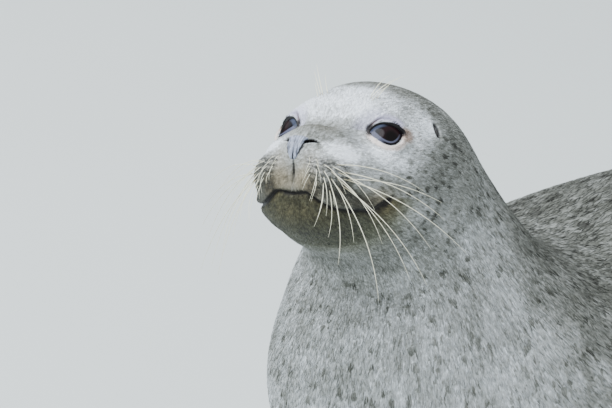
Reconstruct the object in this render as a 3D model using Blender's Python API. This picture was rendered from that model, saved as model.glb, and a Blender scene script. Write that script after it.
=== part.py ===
"""A harbor seal at life size, lying on its belly with its neck and head raised.

The seal is worked out straight, with x to its left, s back from the nose tip and z up, and is
then posed along a spine curve. The outside of the coat is where a blend of rounded masses and
a tapering trunk is zero. Head, neck and trunk are lofts through that surface, parted by thin
gaps. The fins are lofts too, each in its own frame of length, width and thickness.
Units are metres. The seal faces -Y and lies on z = 0.
"""

import math

import bmesh
import bpy
import numpy as np
from mathutils import Matrix, Vector

GAP = 0.0003  # left between pieces that touch

# Posture: the angles of the line from tail to nose, and where along the seal they change.
HEAD_PITCH = math.radians(32.0)
HEAD_YAW = math.radians(8.0)
HEAD_ROLL = math.radians(9.5)
NECK_PITCH = math.radians(74.0)
TRUNK_PITCH = math.radians(6.5)
NAPE_SPAN = (0.10, 0.28)
NECK_SPAN = (0.20, 0.64)
TURN_SPAN = (0.16, 0.46)
REST_STATION = 0.74  # the station that stands over the origin
REST_HEIGHT = 0.140  # height of the spine there
SPINE_LENGTH = 1.60
SPINE_STEP = 0.002

# Trunk: half width, and height above and below the spine, at stations back from the nose.
TRUNK_S = (0.085, 0.125, 0.165, 0.210, 0.270, 0.340, 0.420, 0.520, 0.640, 0.780,
           0.920, 1.050, 1.160, 1.220, 1.270, 1.320, 1.360, 1.385)
TRUNK_WIDE = (0.048, 0.062, 0.0715, 0.0745, 0.099, 0.133, 0.158, 0.175, 0.181, 0.175,
              0.156, 0.126, 0.094, 0.072, 0.050, 0.034, 0.026, 0.015)
TRUNK_UP = (0.046, 0.064, 0.080, 0.082, 0.096, 0.117, 0.133, 0.141, 0.146, 0.141,
            0.126, 0.101, 0.073, 0.054, 0.035, 0.020, 0.012, 0.007)
TRUNK_DOWN = (0.058, 0.068, 0.078, 0.097, 0.121, 0.142, 0.158, 0.163, 0.158, 0.149,
              0.135, 0.117, 0.095, 0.073, 0.047, 0.025, 0.014, 0.008)
TRUNK_POWER = (2.15, 2.3)  # superellipse powers above and below the spine
TRUNK_BLEND = 0.022
TAIL_TIP = 1.392

# Rounded masses: centre (x, s, z), radii and width of blend. Those off the middle are paired.
MASSES = {
    "cranium": ((0.0, 0.1345, 0.0165), (0.0625, 0.072, 0.060), 0.0),
    "cheek": ((0.021, 0.100, -0.015), (0.044, 0.046, 0.044), 0.020),
    "maxilla": ((0.020, 0.066, -0.005), (0.030, 0.038, 0.030), 0.018),
    "snout": ((0.0, 0.046, -0.001), (0.0245, 0.034, 0.0205), 0.016),
    "bridge": ((0.0, 0.054, 0.011), (0.0165, 0.034, 0.016), 0.014),
    "jaw": ((0.0, 0.060, -0.034), (0.048, 0.042, 0.029), 0.012),
    "brow": ((0.027, 0.094, 0.027), (0.022, 0.025, 0.025), 0.012),
    "pad": ((0.018, 0.0345, -0.018), (0.0235, 0.0265, 0.020), 0.013),
    "nose": ((0.0, 0.0225, -0.0015), (0.0115, 0.0125, 0.0115), 0.010),
}
ORBIT = ((0.048, 0.055, 0.030), (0.024, 0.025, 0.018), 0.010)
LID = ((0.0352, 0.0868, 0.0210), (0.0205, 0.0205, 0.0195), 0.008)

# Head grid: rays fan out from a point in the muzzle, then stand square to the spine.
MUZZLE_S = 0.045
AXIS_Z = -0.010
AROUND = 32  # points round a ring
CAP_RINGS = 7
REACH = 0.25

# Where the seal is parted, and the rings in between.
PIECES = {
    "neck": (0.200, 0.340, 6),
    "chest": (0.340, 0.580, 7),
    "belly": (0.580, 0.860, 5),
    "hips": (0.860, 1.130, 5),
    "rump": (1.130, 1.265, 5),
}
HEAD_STATIONS = (0.051, 0.059, 0.067, 0.075, 0.083, 0.092, 0.103, 0.117, 0.135, 0.155, 0.177)
TAIL_STATIONS = (1.290, 1.315, 1.340, 1.360, 1.376, 1.387)

# Eye: a ball seen through an almond opening; facing is turned out from ahead and up.
EYE_CENTRE = (0.0352, 0.0868, 0.0210)
EYE_RADIUS = 0.0190
EYE_TURN = math.radians(37.0)
EYE_TILT = math.radians(12.0)
EYE_CORNERS = ((-0.0163, 0.0012), (0.0165, 0.0038))  # inner and outer: across, up
EYE_LIFT, EYE_SAG = 0.0086, 0.0081
EYE_BACK = 0.004  # plane behind the eye, ahead of the ball's centre

# Mouth line: height against distance from the middle, and where the corner is.
MOUTH_X = (0.0, 0.014, 0.019, 0.025, 0.038, 0.049, 0.0555, 0.075)
MOUTH_Z = (-0.0325, -0.033, -0.036, -0.0395, -0.041, -0.035, -0.0255, -0.015)
MOUTH_BACK = 0.0735

NOSE_HALF = ((0.0, 0.0118), (0.0050, 0.0118), (0.0080, 0.0100), (0.0070, 0.0055),
             (0.0052, 0.0), (0.0036, -0.0048), (0.0, -0.0084))  # x and z of its outline
NOSE_BACK = 0.021

# Slits: middle, long axis, axis into the body, and the three radii (along, across, in).
NOSTRIL = ((0.0106, 0.0168, 0.0088), (0.69, 0.70, 0.18), (-0.60, 0.65, -0.45), (0.0062, 0.0013, 0.0045))
EAR = ((0.0585, 0.1280, 0.0405), (-0.45, 0.0, 0.90), (-0.88, 0.05, -0.47), (0.0063, 0.0022, 0.0060))
EAR_LINING = (0.0048, 0.0012, 0.0034)
EAR_SUNK = 0.0018


class Fin:
    """Measures of one of the left fins: a bent plate with five rayed digits."""

    def __init__(self, line, tilt, half_width, half_thick, reach, web, claw, rays):
        self.line = [Vector(p) for p in line]  # root, control and tip of its middle line
        self.tilt = tilt  # turn of its flat side about the line, from lying level
        self.half_width = half_width  # at u = 0, 1/4, 1/2, 3/4 and 1 along it
        self.half_thick = half_thick
        self.reach = reach  # length of each digit as a share, leading edge first
        self.web = web  # how far the web falls back between digits
        self.claw = claw  # claw length and radius
        self.rays = rays  # height of the digits' ridges as a share of the thickness


FINS = {
    "fore": Fin(((0.115, -0.270, 0.105), (0.212, -0.290, 0.033), (0.245, -0.165, -0.006)),
                0.0, (0.040, 0.038, 0.042, 0.047, 0.047),
                (0.026, 0.020, 0.0115, 0.0070, 0.0034), (1.00, 0.985, 0.95, 0.90, 0.83), 0.035,
                (0.021, 0.0024), 0.30),
    "hind": Fin(((0.040, 0.455, 0.076), (0.068, 0.570, 0.053), (0.098, 0.705, 0.044)),
                math.radians(48.0), (0.036, 0.042, 0.052, 0.064, 0.074),
                (0.030, 0.019, 0.0105, 0.0065, 0.0030), (1.00, 0.95, 0.91, 0.94, 0.98), 0.040,
                (0.012, 0.0018), 0.32),
}
DIGITS = (-0.86, -0.43, 0.0, 0.43, 0.86)  # where the digits lie across a fin
FIN_RINGS, FIN_ACROSS = 10, 13
REST_SHARE = 0.40  # least height of a fin's middle, as a share of its half thickness
REST_BLEND = 0.005
CLAW_SIDES = 6
CLAW_ROOT = 0.30  # share of a claw that is sunk in its digit
CLAW_CLEAR = 0.0006  # height of a claw above the floor

# The coat and bare parts: colour, roughness.
MATERIALS = {
    "coat": ((0.42, 0.41, 0.38), 0.75),
    "coat_dark": ((0.24, 0.23, 0.20), 0.75),
    "nose": ((0.25, 0.26, 0.31), 0.45),
    "eye": ((0.012, 0.009, 0.008), 0.05),
    "ear": ((0.03, 0.027, 0.025), 0.6),
    "claw": ((0.05, 0.042, 0.036), 0.4),
}


def ramp(s, start, end):
    """Rise from 0 to 1 between two stations, level at both ends."""
    t = np.clip((s - start) / (end - start), 0.0, 1.0)
    return t * t * t * (t * (6.0 * t - 15.0) + 10.0)


def smooth_table(s, stations, values):
    """Cubic curve through a table, with slopes from its neighbours."""
    x, y = np.asarray(stations), np.asarray(values)
    slope = np.gradient(y, x)
    s = np.clip(s, x[0], x[-1])
    i = np.clip(np.searchsorted(x, s, side="right") - 1, 0, len(x) - 2)
    h = x[i + 1] - x[i]
    t = (s - x[i]) / h
    return ((2 * t**3 - 3 * t**2 + 1) * y[i] + (t**3 - 2 * t**2 + t) * h * slope[i]
            + (3 * t**2 - 2 * t**3) * y[i + 1] + (t**3 - t**2) * h * slope[i + 1])


def ellipsoid(p, centre, radii):
    """About the distance from an ellipsoid's surface, negative inside."""
    q = (p - np.array(centre)) / np.array(radii)
    near = np.sqrt((q**2).sum(-1))
    steep = np.sqrt(((q / np.array(radii))**2).sum(-1))
    return near * (near - 1.0) / np.maximum(steep, 1e-9)


def blend(a, b, width):
    """The lesser of two distances, rounded over where they are within a width."""
    h = np.clip(0.5 + 0.5 * (b - a) / width, 0.0, 1.0)
    return b + (a - b) * h - width * h * (1.0 - h)


def trunk(p):
    """Distance from the tapering trunk, a superellipse at each station."""
    x, s, z = p[..., 0], p[..., 1], p[..., 2]
    wide = smooth_table(s, TRUNK_S, TRUNK_WIDE)
    high = np.where(z > 0, smooth_table(s, TRUNK_S, TRUNK_UP), smooth_table(s, TRUNK_S, TRUNK_DOWN))
    power = np.where(z > 0, TRUNK_POWER[0], TRUNK_POWER[1])
    q = ((np.abs(x) / wide)**power + (np.abs(z) / high)**power)**(1.0 / power)
    out = np.hypot(x, z)
    d = np.where(out < 1e-6, -np.minimum(wide, high), out * (q - 1.0) / np.maximum(q, 1e-6))
    ahead = np.maximum(TRUNK_S[0] - s, 0.0)
    return np.where(ahead > 0, np.hypot(np.maximum(d, -0.02) + 0.02, ahead) - 0.02, d)


def body(p):
    """Distance from the outside of the coat, negative inside the seal."""
    folded = p.copy()
    folded[..., 0] = np.abs(p[..., 0])
    d = None
    for centre, radii, width in MASSES.values():
        mass = ellipsoid(folded if centre[0] else p, centre, radii)
        d = mass if d is None else blend(d, mass, width)
    d = blend(d, trunk(p), TRUNK_BLEND)
    d = -blend(-d, ellipsoid(folded, ORBIT[0], ORBIT[1]), ORBIT[2])
    return blend(d, ellipsoid(folded, LID[0], LID[1]), LID[2])


class Spine:
    """The curve the straight seal is bent along, with a left and an up at each station."""

    def __init__(self):
        s = np.arange(0.0, SPINE_LENGTH + SPINE_STEP, SPINE_STEP)
        pitch = (HEAD_PITCH + (NECK_PITCH - HEAD_PITCH) * ramp(s, *NAPE_SPAN)
                 + (TRUNK_PITCH - NECK_PITCH) * ramp(s, *NECK_SPAN))
        turn = 1.0 - ramp(s, *TURN_SPAN)
        yaw, roll = HEAD_YAW * turn, HEAD_ROLL * turn
        ahead = np.stack([np.sin(yaw) * np.cos(pitch), -np.cos(yaw) * np.cos(pitch), np.sin(pitch)], 1)
        level = np.stack([np.cos(yaw), np.sin(yaw), np.zeros_like(s)], 1)
        upright = np.cross(ahead, level)
        c, k = np.cos(roll)[:, None], np.sin(roll)[:, None]
        steps = (ahead[1:] + ahead[:-1]) / 2 * SPINE_STEP
        middle = np.concatenate([np.zeros((1, 3)), -np.cumsum(steps, 0)])
        middle += (0.0, 0.0, REST_HEIGHT) - middle[int(round(REST_STATION / SPINE_STEP))]
        self.s = s
        self.rows = {"middle": middle, "ahead": ahead, "left": level * c + upright * k,
                     "up": upright * c - level * k}

    def at(self, s, row):
        """One of the spine's vectors at stations s."""
        values = self.rows[row]
        return np.stack([np.interp(s, self.s, values[:, i]) for i in range(3)], -1)

    def pose(self, p):
        """Bend points of the straight seal into place."""
        s = np.clip(p[..., 1], 0.0, SPINE_LENGTH)
        beyond = np.minimum(p[..., 1], 0.0)[..., None]
        return (self.at(s, "middle") + p[..., :1] * self.at(s, "left") + p[..., 2:] * self.at(s, "up")
                - beyond * self.at(s, "ahead"))

    def frame(self, s):
        """Rotation of the straight seal's axes (x, s, z) at one station."""
        axes = [self.at(s, "left"), -self.at(s, "ahead"), self.at(s, "up")]
        return Matrix([tuple(a) for a in axes]).transposed()


SPINE = Spine()


def cast(origins, directions, level):
    """Length of each ray where the body's distance reaches a level, by halving."""
    near = np.zeros(origins.shape[:-1])
    far = np.full(near.shape, REACH)
    for _ in range(26):
        half = (near + far) / 2
        inside = body(origins + directions * half[..., None]) < level
        near, far = np.where(inside, half, near), np.where(inside, far, half)
    return (near + far) / 2


def muzzle_rings(level=0.0):
    """Rings fanned over the muzzle from its tip, and the tip itself."""
    phi = np.linspace(0.0, 2 * math.pi, AROUND, endpoint=False)[None, :]
    polar = np.linspace(0.0, math.pi / 2, CAP_RINGS + 1)[1:, None]
    rays = np.stack([np.sin(polar) * np.sin(phi), -np.cos(polar) + 0 * phi, np.sin(polar) * np.cos(phi)], -1)
    start = np.broadcast_to((0.0, MUZZLE_S, AXIS_Z), rays.shape)
    rings = start + rays * cast(start, rays, level)[..., None]
    origin, forward = np.array([[0.0, MUZZLE_S, AXIS_Z]]), np.array([[0.0, -1.0, 0.0]])
    tip = origin + forward * cast(origin, forward, level)[:, None]
    return SPINE.pose(rings), SPINE.pose(tip)[0]


def trunk_rings(stations, level=0.0, floor=0.0):
    """Rings square to the spine, each cut level where it would pass below the floor."""
    s, phi = np.meshgrid(stations, np.linspace(0.0, 2 * math.pi, AROUND, endpoint=False), indexing="ij")
    start = np.stack([0 * s, s, 0 * s + AXIS_Z], -1)
    rays = np.stack([np.sin(phi), 0 * s, np.cos(phi)], -1)
    length = cast(start, rays, level)
    base = SPINE.pose(start)
    way = SPINE.pose(start + rays) - base
    fall = np.minimum(way[..., 2], -1e-9)
    length = np.where(way[..., 2] < 0, np.minimum(length, (floor - base[..., 2]) / fall), length)
    return base + way * length[..., None]


def new_material(name):
    """A principled material from the table above."""
    colour, roughness = MATERIALS[name]
    material = bpy.data.materials.new(name)
    material.use_nodes = True
    shader = material.node_tree.nodes["Principled BSDF"]
    shader.inputs["Base Color"].default_value = (*colour, 1.0)
    shader.inputs["Roughness"].default_value = roughness
    material.diffuse_color = (*colour, 1.0)
    return material


def add_object(name, bm, collection, material=None):
    """Close a bmesh into an object with its faces turned outwards."""
    bm.normal_update()
    bmesh.ops.recalc_face_normals(bm, faces=bm.faces)
    mesh = bpy.data.meshes.new(name)
    bm.to_mesh(mesh)
    bm.free()
    mesh.shade_smooth()
    mesh.set_sharp_from_angle(angle=math.radians(50.0))
    obj = bpy.data.objects.new(name, mesh)
    collection.objects.link(obj)
    if material:
        mesh.materials.append(material)
    else:
        obj.hide_render = True
        obj.display_type = "WIRE"
    return obj


def loft(rings, first=None, last=None, zip_last=False):
    """Closed skin through rings; an end is a fan to a point, or is zipped flat across."""
    bm = bmesh.new()
    rows = [[bm.verts.new(p) for p in ring] for ring in rings]
    for low, high in zip(rows, rows[1:]):
        for i, (a, b) in enumerate(zip(low, high)):
            bm.faces.new((a, b, high[i - 1]))
            bm.faces.new((a, high[i - 1], low[i - 1]))
    for row, point in ((rows[0], first), (rows[-1], last)):
        if point is not None:
            pole = bm.verts.new(point)
            for i, a in enumerate(row):
                bm.faces.new((a, row[i - 1], pole))
    if zip_last:
        row, half = rows[-1], len(rows[-1]) // 2
        for i in range(half):
            corners = (row[i], row[i + 1], row[-i - 1], row[-i] if i else row[0])
            bm.faces.new(dict.fromkeys(corners))
    return bm


def prism(outline, low, high):
    """Solid between two copies of an outline, low and high being point lists."""
    bm = bmesh.new()
    rows = [[bm.verts.new(p) for p in points] for points in (low, high)]
    bm.faces.new(rows[0])
    bm.faces.new(rows[1])
    for i in range(len(outline)):
        bm.faces.new((rows[0][i - 1], rows[0][i], rows[1][i], rows[1][i - 1]))
    return bm


def cut(target, cutter, operation="DIFFERENCE"):
    """Boolean on an object, exact solver."""
    modifier = target.modifiers.new(cutter.name, "BOOLEAN")
    modifier.operation = operation
    modifier.solver = "EXACT"
    modifier.object = cutter


def section_centre(s, floor=0.0):
    """The point on the spine at a station, kept above the floor."""
    point = SPINE.pose(np.array([0.0, s, AXIS_Z]))
    point[2] = max(point[2], floor)
    return point


def build_trunk(parts, coat):
    """Neck, chest, belly, hips and rump, parted by half a gap each side of their stations."""
    for name, (start, end, count) in PIECES.items():
        stations = np.linspace(start, end, count)
        stations[0] += GAP / 2
        stations[-1] -= GAP / 2
        bm = loft(trunk_rings(stations), section_centre(stations[0]), section_centre(stations[-1]))
        add_object(name, bm, parts, coat)
    stations = np.array((PIECES["rump"][1] + GAP / 2,) + TAIL_STATIONS)
    bm = loft(trunk_rings(stations), section_centre(stations[0]), section_centre(TAIL_TIP))
    add_object("tail", bm, parts, coat)


def head_solid():
    """The whole head, from the muzzle's tip to where the neck starts."""
    muzzle, tip = muzzle_rings()
    stations = np.array(HEAD_STATIONS + (PIECES["neck"][0] - GAP / 2,))
    rings = np.concatenate([muzzle, trunk_rings(stations)])
    return loft(rings, tip, section_centre(stations[-1]))


def eye_axes(side):
    """Across, forward and up of an eye in the straight seal; side is 1 left, -1 right."""
    forward = Vector((side * math.sin(EYE_TURN) * math.cos(EYE_TILT),
                      -math.cos(EYE_TURN) * math.cos(EYE_TILT), math.sin(EYE_TILT)))
    across = Vector((side * math.cos(EYE_TURN), math.sin(EYE_TURN), 0.0))
    up = forward.cross(across) * side
    return across, forward, up if up.z > 0 else -up


def almond(swell, points=12):
    """Outline of the eye's opening: across and up, swollen outwards."""
    (x0, z0), (x1, z1) = EYE_CORNERS
    outline = []
    for sign, rise in ((1.0, EYE_LIFT), (-1.0, EYE_SAG)):
        for i in range(points):
            t = -sign * math.cos(math.pi * i / points)
            x = (x0 + x1) / 2 + (x1 - x0 + 2 * swell) / 2 * t
            z = (z0 + z1) / 2 + (z1 - z0) / 2 * t + sign * (rise + swell) * max(1 - t * t, 0.0)**0.8
            outline.append((x, z))
    return outline


def eye_prism(side, swell):
    """The opening's outline drawn out forwards from the plane behind the eye."""
    across, forward, up = eye_axes(side)
    centre = Vector((side * EYE_CENTRE[0], *EYE_CENTRE[1:]))
    outline = almond(swell)
    layers = []
    for depth in (EYE_BACK - swell, 0.045):
        points = np.array([centre + across * x + up * z + forward * depth for x, z in outline])
        layers.append(SPINE.pose(points))
    return prism(outline, *layers)


def ball(middle, axes, radii, segments=24, rings=16):
    """An ellipsoid with its radii along three axes of the straight seal, posed rigidly."""
    bm = bmesh.new()
    bmesh.ops.create_uvsphere(bm, u_segments=segments, v_segments=rings, radius=1.0)
    shape = Matrix([tuple(a * r) for a, r in zip(axes, radii)]).transposed()
    place = Matrix.Translation(SPINE.pose(np.array(middle)))
    bm.transform(place @ (SPINE.frame(middle[1]) @ shape).to_4x4())
    return bm


def slit(measures, side, radii, sunk=0.0):
    """A flat ellipsoid set across the skin, mirrored to a side."""
    middle, along, inward, _ = measures
    flip = Vector((side, 1.0, 1.0))
    along, inward = Vector(along).normalized() * flip, Vector(inward) * flip
    inward = (inward - along * inward.dot(along)).normalized()
    middle = Vector(middle) * flip + inward * sunk
    return ball(tuple(middle), (along, along.cross(inward), inward), radii, 10, 6)


def mouth_block(shift):
    """Everything under the mouth line and ahead of its corner, shifted by half a gap."""
    x = np.concatenate([-np.array(MOUTH_X[:0:-1]), MOUTH_X])
    z = np.concatenate([np.array(MOUTH_Z[:0:-1]), MOUTH_Z]) + shift
    fine = np.linspace(x[0], x[-1], 33)
    top = smooth_table(fine, x, z)
    outline = list(zip(fine, top)) + [(fine[-1], -0.12), (fine[0], -0.12)]
    layers = [SPINE.pose(np.array([(a, s, b) for a, b in outline])) for s in (-0.03, MOUTH_BACK + shift)]
    return prism(outline, *layers)


def nose_prism(swell):
    """The nose pad's outline drawn out forwards."""
    half = [(x + (swell if x else 0.0), z + math.copysign(swell, z)) for x, z in NOSE_HALF]
    outline = half + [(-x, z) for x, z in half[-2:0:-1]]
    layers = [SPINE.pose(np.array([(a, s, b) for a, b in outline])) for s in (-0.03, NOSE_BACK + swell)]
    return prism(outline, *layers)


def build_head(parts, cutters, looks):
    """Head, lower jaw, nose, eyes and ears, each cut clear of the next."""
    head = add_object("head", head_solid(), parts, looks["coat"])
    jaw = add_object("lower_jaw", head_solid(), parts, looks["coat_dark"])
    nose = add_object("nose", head_solid(), parts, looks["nose"])
    cut(head, add_object("cut_mouth", mouth_block(GAP / 2), cutters))
    cut(jaw, add_object("keep_jaw", mouth_block(-GAP / 2), cutters), "INTERSECT")
    cut(head, add_object("cut_nose", nose_prism(GAP), cutters))
    cut(nose, add_object("keep_nose", nose_prism(0.0), cutters), "INTERSECT")
    for side, word in ((1, "left"), (-1, "right")):
        nostril = add_object("cut_nostril_" + word, slit(NOSTRIL, side, NOSTRIL[3]), cutters)
        cut(head, nostril)
        cut(nose, nostril)
        cut(head, add_object("cut_ear_" + word, slit(EAR, side, EAR[3]), cutters))
        add_object("ear_" + word, slit(EAR, side, EAR_LINING, EAR_SUNK), parts, looks["ear"])
        cut(head, add_object("cut_eye_" + word, eye_prism(side, GAP), cutters))
        centre = (side * EYE_CENTRE[0], *EYE_CENTRE[1:])
        eye = add_object("eye_" + word, ball(centre, eye_axes(side), (EYE_RADIUS,) * 3, 28, 18),
                         parts, looks["eye"])
        cut(eye, add_object("keep_eye_" + word, eye_prism(side, 0.0), cutters), "INTERSECT")


def fin_frame(fin, u):
    """Middle, along, across and out of a fin's face, at shares u along its line."""
    p0, p1, p2 = (np.array(p) for p in fin.line)
    u = np.asarray(u)[..., None]
    middle = (1 - u)**2 * p0 + 2 * u * (1 - u) * p1 + u**2 * p2
    along = 2 * (1 - u) * (p1 - p0) + 2 * u * (p2 - p1)
    along /= np.linalg.norm(along, axis=-1, keepdims=True)
    level = np.stack([-along[..., 1], along[..., 0], 0 * along[..., 0]], -1)
    level /= np.linalg.norm(level, axis=-1, keepdims=True)
    out = np.cross(along, level)
    across = level * math.cos(fin.tilt) + out * math.sin(fin.tilt)
    return middle, along, across, np.cross(along, across)


def digit_wave(v):
    """1 on the line of each digit, 0 midway between two."""
    gap = DIGITS[1] - DIGITS[0]
    return np.clip(0.5 + 0.5 * np.cos(2 * math.pi * (v - DIGITS[0]) / gap), 0.0, 1.0)


def fin_point(fin, u, v, face):
    """A point of a fin: u along, v across from the leading edge, face 1 top or -1 sole."""
    stops = np.linspace(0.0, 1.0, 5)
    reach = smooth_table(v, DIGITS, fin.reach) - fin.web * (1 - digit_wave(v))
    reach = 1 + (reach - 1) * ramp(u, 0.25, 1.0)
    middle, _, across, out = fin_frame(fin, u * reach)
    wide = smooth_table(u, stops, fin.half_width)
    thick = smooth_table(u, stops, fin.half_thick)
    middle[..., 2] = -blend(-middle[..., 2], -REST_SHARE * thick, REST_BLEND)
    edge = np.maximum(1 - np.abs(v)**2.6, 0.0)**(1 / 2.6)
    ridge = 1 + fin.rays * ramp(u, 0.2, 0.6) * (digit_wave(v) - 0.6)
    end = np.sqrt(np.maximum(1 - ramp(u, 0.93, 1.04)**2, 0.0))
    height = face * thick * edge * ridge * end
    return middle + across * (v * wide)[..., None] + out * height[..., None]


def fin_rings(fin, side):
    """Rings round a fin, leading edge first, over the top and back under the sole."""
    u = np.linspace(0.0, 1.0, FIN_RINGS)**0.9
    v = -np.cos(np.linspace(0.0, math.pi, FIN_ACROSS))
    v = 0.35 * v + 0.65 * np.linspace(-1.0, 1.0, FIN_ACROSS)
    over = fin_point(fin, *np.meshgrid(u, v, indexing="ij"), 1.0)
    under = fin_point(fin, *np.meshgrid(u, v[-2:0:-1], indexing="ij"), -1.0)
    rings = np.concatenate([over, under], 1)
    rings[..., 0] *= side
    rings[..., 2] = np.maximum(rings[..., 2], 0.0)
    return rings


def claw_rings(fin, digit, side, swell):
    """Rings of a claw that leaves a digit's end along its top and curves to the floor."""
    length, radius = fin.claw
    reach = fin.reach[DIGITS.index(digit)]
    middle, along, _, out = fin_frame(fin, np.array(reach))
    base = fin_point(fin, np.array(0.97), np.array(digit), 0.4)
    t = np.array((0.0, 0.4, 0.8, 1.0))
    size = radius * np.sqrt(np.maximum(1 - 0.93 * t**1.6, 0.0))
    t = t + np.array((-1.0, 0.0, 0.0, 1.0)) * swell / length
    path = (base + along * (length * (t - CLAW_ROOT))[:, None]
            + out * (length * (0.10 * t - 0.30 * t**2))[:, None])
    path[:, 2] = np.maximum(path[:, 2], size + CLAW_CLEAR)
    size += swell
    turn = np.linspace(0.0, 2 * math.pi, CLAW_SIDES, endpoint=False)
    sideways = np.cross(along, out)
    rings = (path[:, None] + size[:, None, None] * (np.cos(turn)[:, None] * sideways
                                                    + np.sin(turn)[:, None] * out))
    rings[..., 0] *= side
    ends = path[[0, -1]] * (side, 1.0, 1.0)
    return rings, ends


def build_fins(parts, cutters, looks):
    """The four fins cut clear of the trunk, and their claws."""
    spans = {"fore": ("neck", "chest", "belly"), "hind": ("hips", "rump")}
    for kind, fin in FINS.items():
        stations = np.unique(np.round(np.concatenate(
            [np.linspace(*PIECES[name]) for name in spans[kind]]), 6))
        if kind == "hind":
            stations = np.append(stations, TAIL_STATIONS)
        rings = trunk_rings(stations, GAP, -0.002)
        ends = [section_centre(stations[0]), section_centre(TAIL_TIP + GAP if kind == "hind" else stations[-1])]
        trunk_cutter = add_object("cut_trunk_" + kind, loft(rings, *ends), cutters)
        for side, word in ((1, "left"), (-1, "right")):
            rings = fin_rings(fin, side)
            bm = loft(rings, rings[0].mean(0), None, zip_last=True)
            flipper = add_object(f"{kind}_flipper_{word}", bm, parts, looks["coat"])
            cut(flipper, trunk_cutter)
            for number, digit in enumerate(DIGITS, 1):
                name = f"{kind}_claw_{word}_{number}"
                rings, ends = claw_rings(fin, digit, side, 0.0)
                add_object(name, loft(rings, *ends), parts, looks["claw"])
                rings, ends = claw_rings(fin, digit, side, GAP)
                cut(flipper, add_object("cut_" + name, loft(rings, *ends), cutters))


def main():
    """Clear the scene and build the seal."""
    for obj in list(bpy.data.objects):
        bpy.data.objects.remove(obj, do_unlink=True)
    parts = bpy.data.collections.new("harbor_seal")
    cutters = bpy.data.collections.new("cutters")
    for collection in (parts, cutters):
        bpy.context.scene.collection.children.link(collection)
    looks = {name: new_material(name) for name in MATERIALS}
    build_head(parts, cutters, looks)
    build_trunk(parts, looks["coat"])
    build_fins(parts, cutters, looks)


main()
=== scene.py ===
"""Looks of the life-size harbor seal.

The seal is worked out straight, with x to its left, s back from the nose tip and z up, and is
then bent along its spine, as the solids are. One skin covers head, trunk, tail and flippers, a
coat's depth inside the solids. Short tufts of fur lie on it from nose to tail. Eyes, nose pad,
whiskers and claws are pieces of their own. Units are metres.
"""

import logging
import math
from collections.abc import Callable
from dataclasses import dataclass, field
from enum import Enum
from functools import reduce

import bmesh
import bpy
import numpy as np
from bpy.types import Material, Mesh, Node, Object
from bpy.types import NodeSocket as Socket
from mathutils import Matrix, Vector
from numpy.typing import NDArray


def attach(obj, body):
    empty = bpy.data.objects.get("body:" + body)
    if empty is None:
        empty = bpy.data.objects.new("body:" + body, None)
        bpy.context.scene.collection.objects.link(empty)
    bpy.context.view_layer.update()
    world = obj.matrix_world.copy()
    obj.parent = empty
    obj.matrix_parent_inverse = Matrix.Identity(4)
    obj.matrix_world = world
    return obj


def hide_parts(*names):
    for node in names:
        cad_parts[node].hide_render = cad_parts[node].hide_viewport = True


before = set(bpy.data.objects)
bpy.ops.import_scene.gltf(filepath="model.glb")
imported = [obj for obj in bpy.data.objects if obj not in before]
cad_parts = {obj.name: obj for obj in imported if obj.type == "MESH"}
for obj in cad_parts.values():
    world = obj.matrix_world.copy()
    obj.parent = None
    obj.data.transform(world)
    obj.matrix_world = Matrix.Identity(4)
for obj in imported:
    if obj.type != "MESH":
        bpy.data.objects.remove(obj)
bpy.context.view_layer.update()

LOG = logging.getLogger("harbor_seal")
Array = NDArray[np.float64]
Pair = tuple[float, float]
Triple = tuple[float, float, float]
Row = tuple[float, ...]
Colour = Triple
MM = 0.001
SIDES = {1: "left", -1: "right"}  # the sign of x on each side
FLOOR_CLEAR = 0.0006  # least height of skin and fur above the floor
FAR = 9.0  # stands for far off where a measure is 1 on an outline
FAR_MM = 40.0  # stands for far off in millimetres


class Slot(Enum):
    """The record's material slots."""

    COAT = "coat"
    CHIN = "chin_coat"
    NOSE = "nose"
    EAR = "ear"
    EYE = "eye"
    CLAW = "claw"
    WHISKER = "whisker"


# --- Shapes as functions


def ramp(x: Array, start: float, end: float) -> Array:
    """Rise from 0 at start to 1 at end, level at both: 6t^5 - 15t^4 + 10t^3."""
    t = np.clip((x - start) / (end - start), 0.0, 1.0)
    return t * t * t * (t * (6.0 * t - 15.0) + 10.0)


def bell(x: Array, width: float) -> Array:
    """A bump of height 1 that is 1/e high at its width: exp of minus (x / width) squared."""
    return np.exp(-((x / width) ** 2))


def unit(v: Array) -> Array:
    """Vectors along the last axis, made one long."""
    return v / np.maximum(np.linalg.norm(v, axis=-1, keepdims=True), 1e-12)


def pack(*parts: Array | float) -> Array:
    """Arrays side by side along a new last axis, each spread to the shape of all."""
    return np.stack(np.broadcast_arrays(*parts), -1)


def chain(*parts: Array) -> Array:
    """Arrays end to end along the first axis."""
    return np.concatenate(parts)


def mirrored(v: Array | Triple, side: int) -> Array:
    """Left points or directions on one side: 1 keeps them and -1 turns them to the right."""
    return np.asarray(v) * (side, 1.0, 1.0)


def heading(turn: Array | float, rise: Array | float) -> Array:
    """Unit directions that turn left from straight ahead and rise above level by two angles."""
    return pack(np.sin(turn) * np.cos(rise), -np.cos(turn) * np.cos(rise), np.sin(rise))


def table_curve(x: Array, stations: Row, values: Row) -> Array:
    """Cubic Hermite curve through a table, with slopes from its neighbours.

    Args:
        x: Where to read the curve.
        stations: Rising places of the table.
        values: Heights at those places.

    Returns:
        The curve's height at each x, level beyond both ends.
    """
    xs, ys = np.asarray(stations), np.asarray(values)
    slope = np.gradient(ys, xs)
    x = np.clip(x, xs[0], xs[-1])
    i = np.clip(np.searchsorted(xs, x, side="right") - 1, 0, len(xs) - 2)
    h = xs[i + 1] - xs[i]
    t = (x - xs[i]) / h
    return (
        (2 * t**3 - 3 * t**2 + 1) * ys[i] + (t**3 - 2 * t**2 + t) * h * slope[i]
        + (3 * t**2 - 2 * t**3) * ys[i + 1] + (t**3 - t**2) * h * slope[i + 1]
    )


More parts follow.
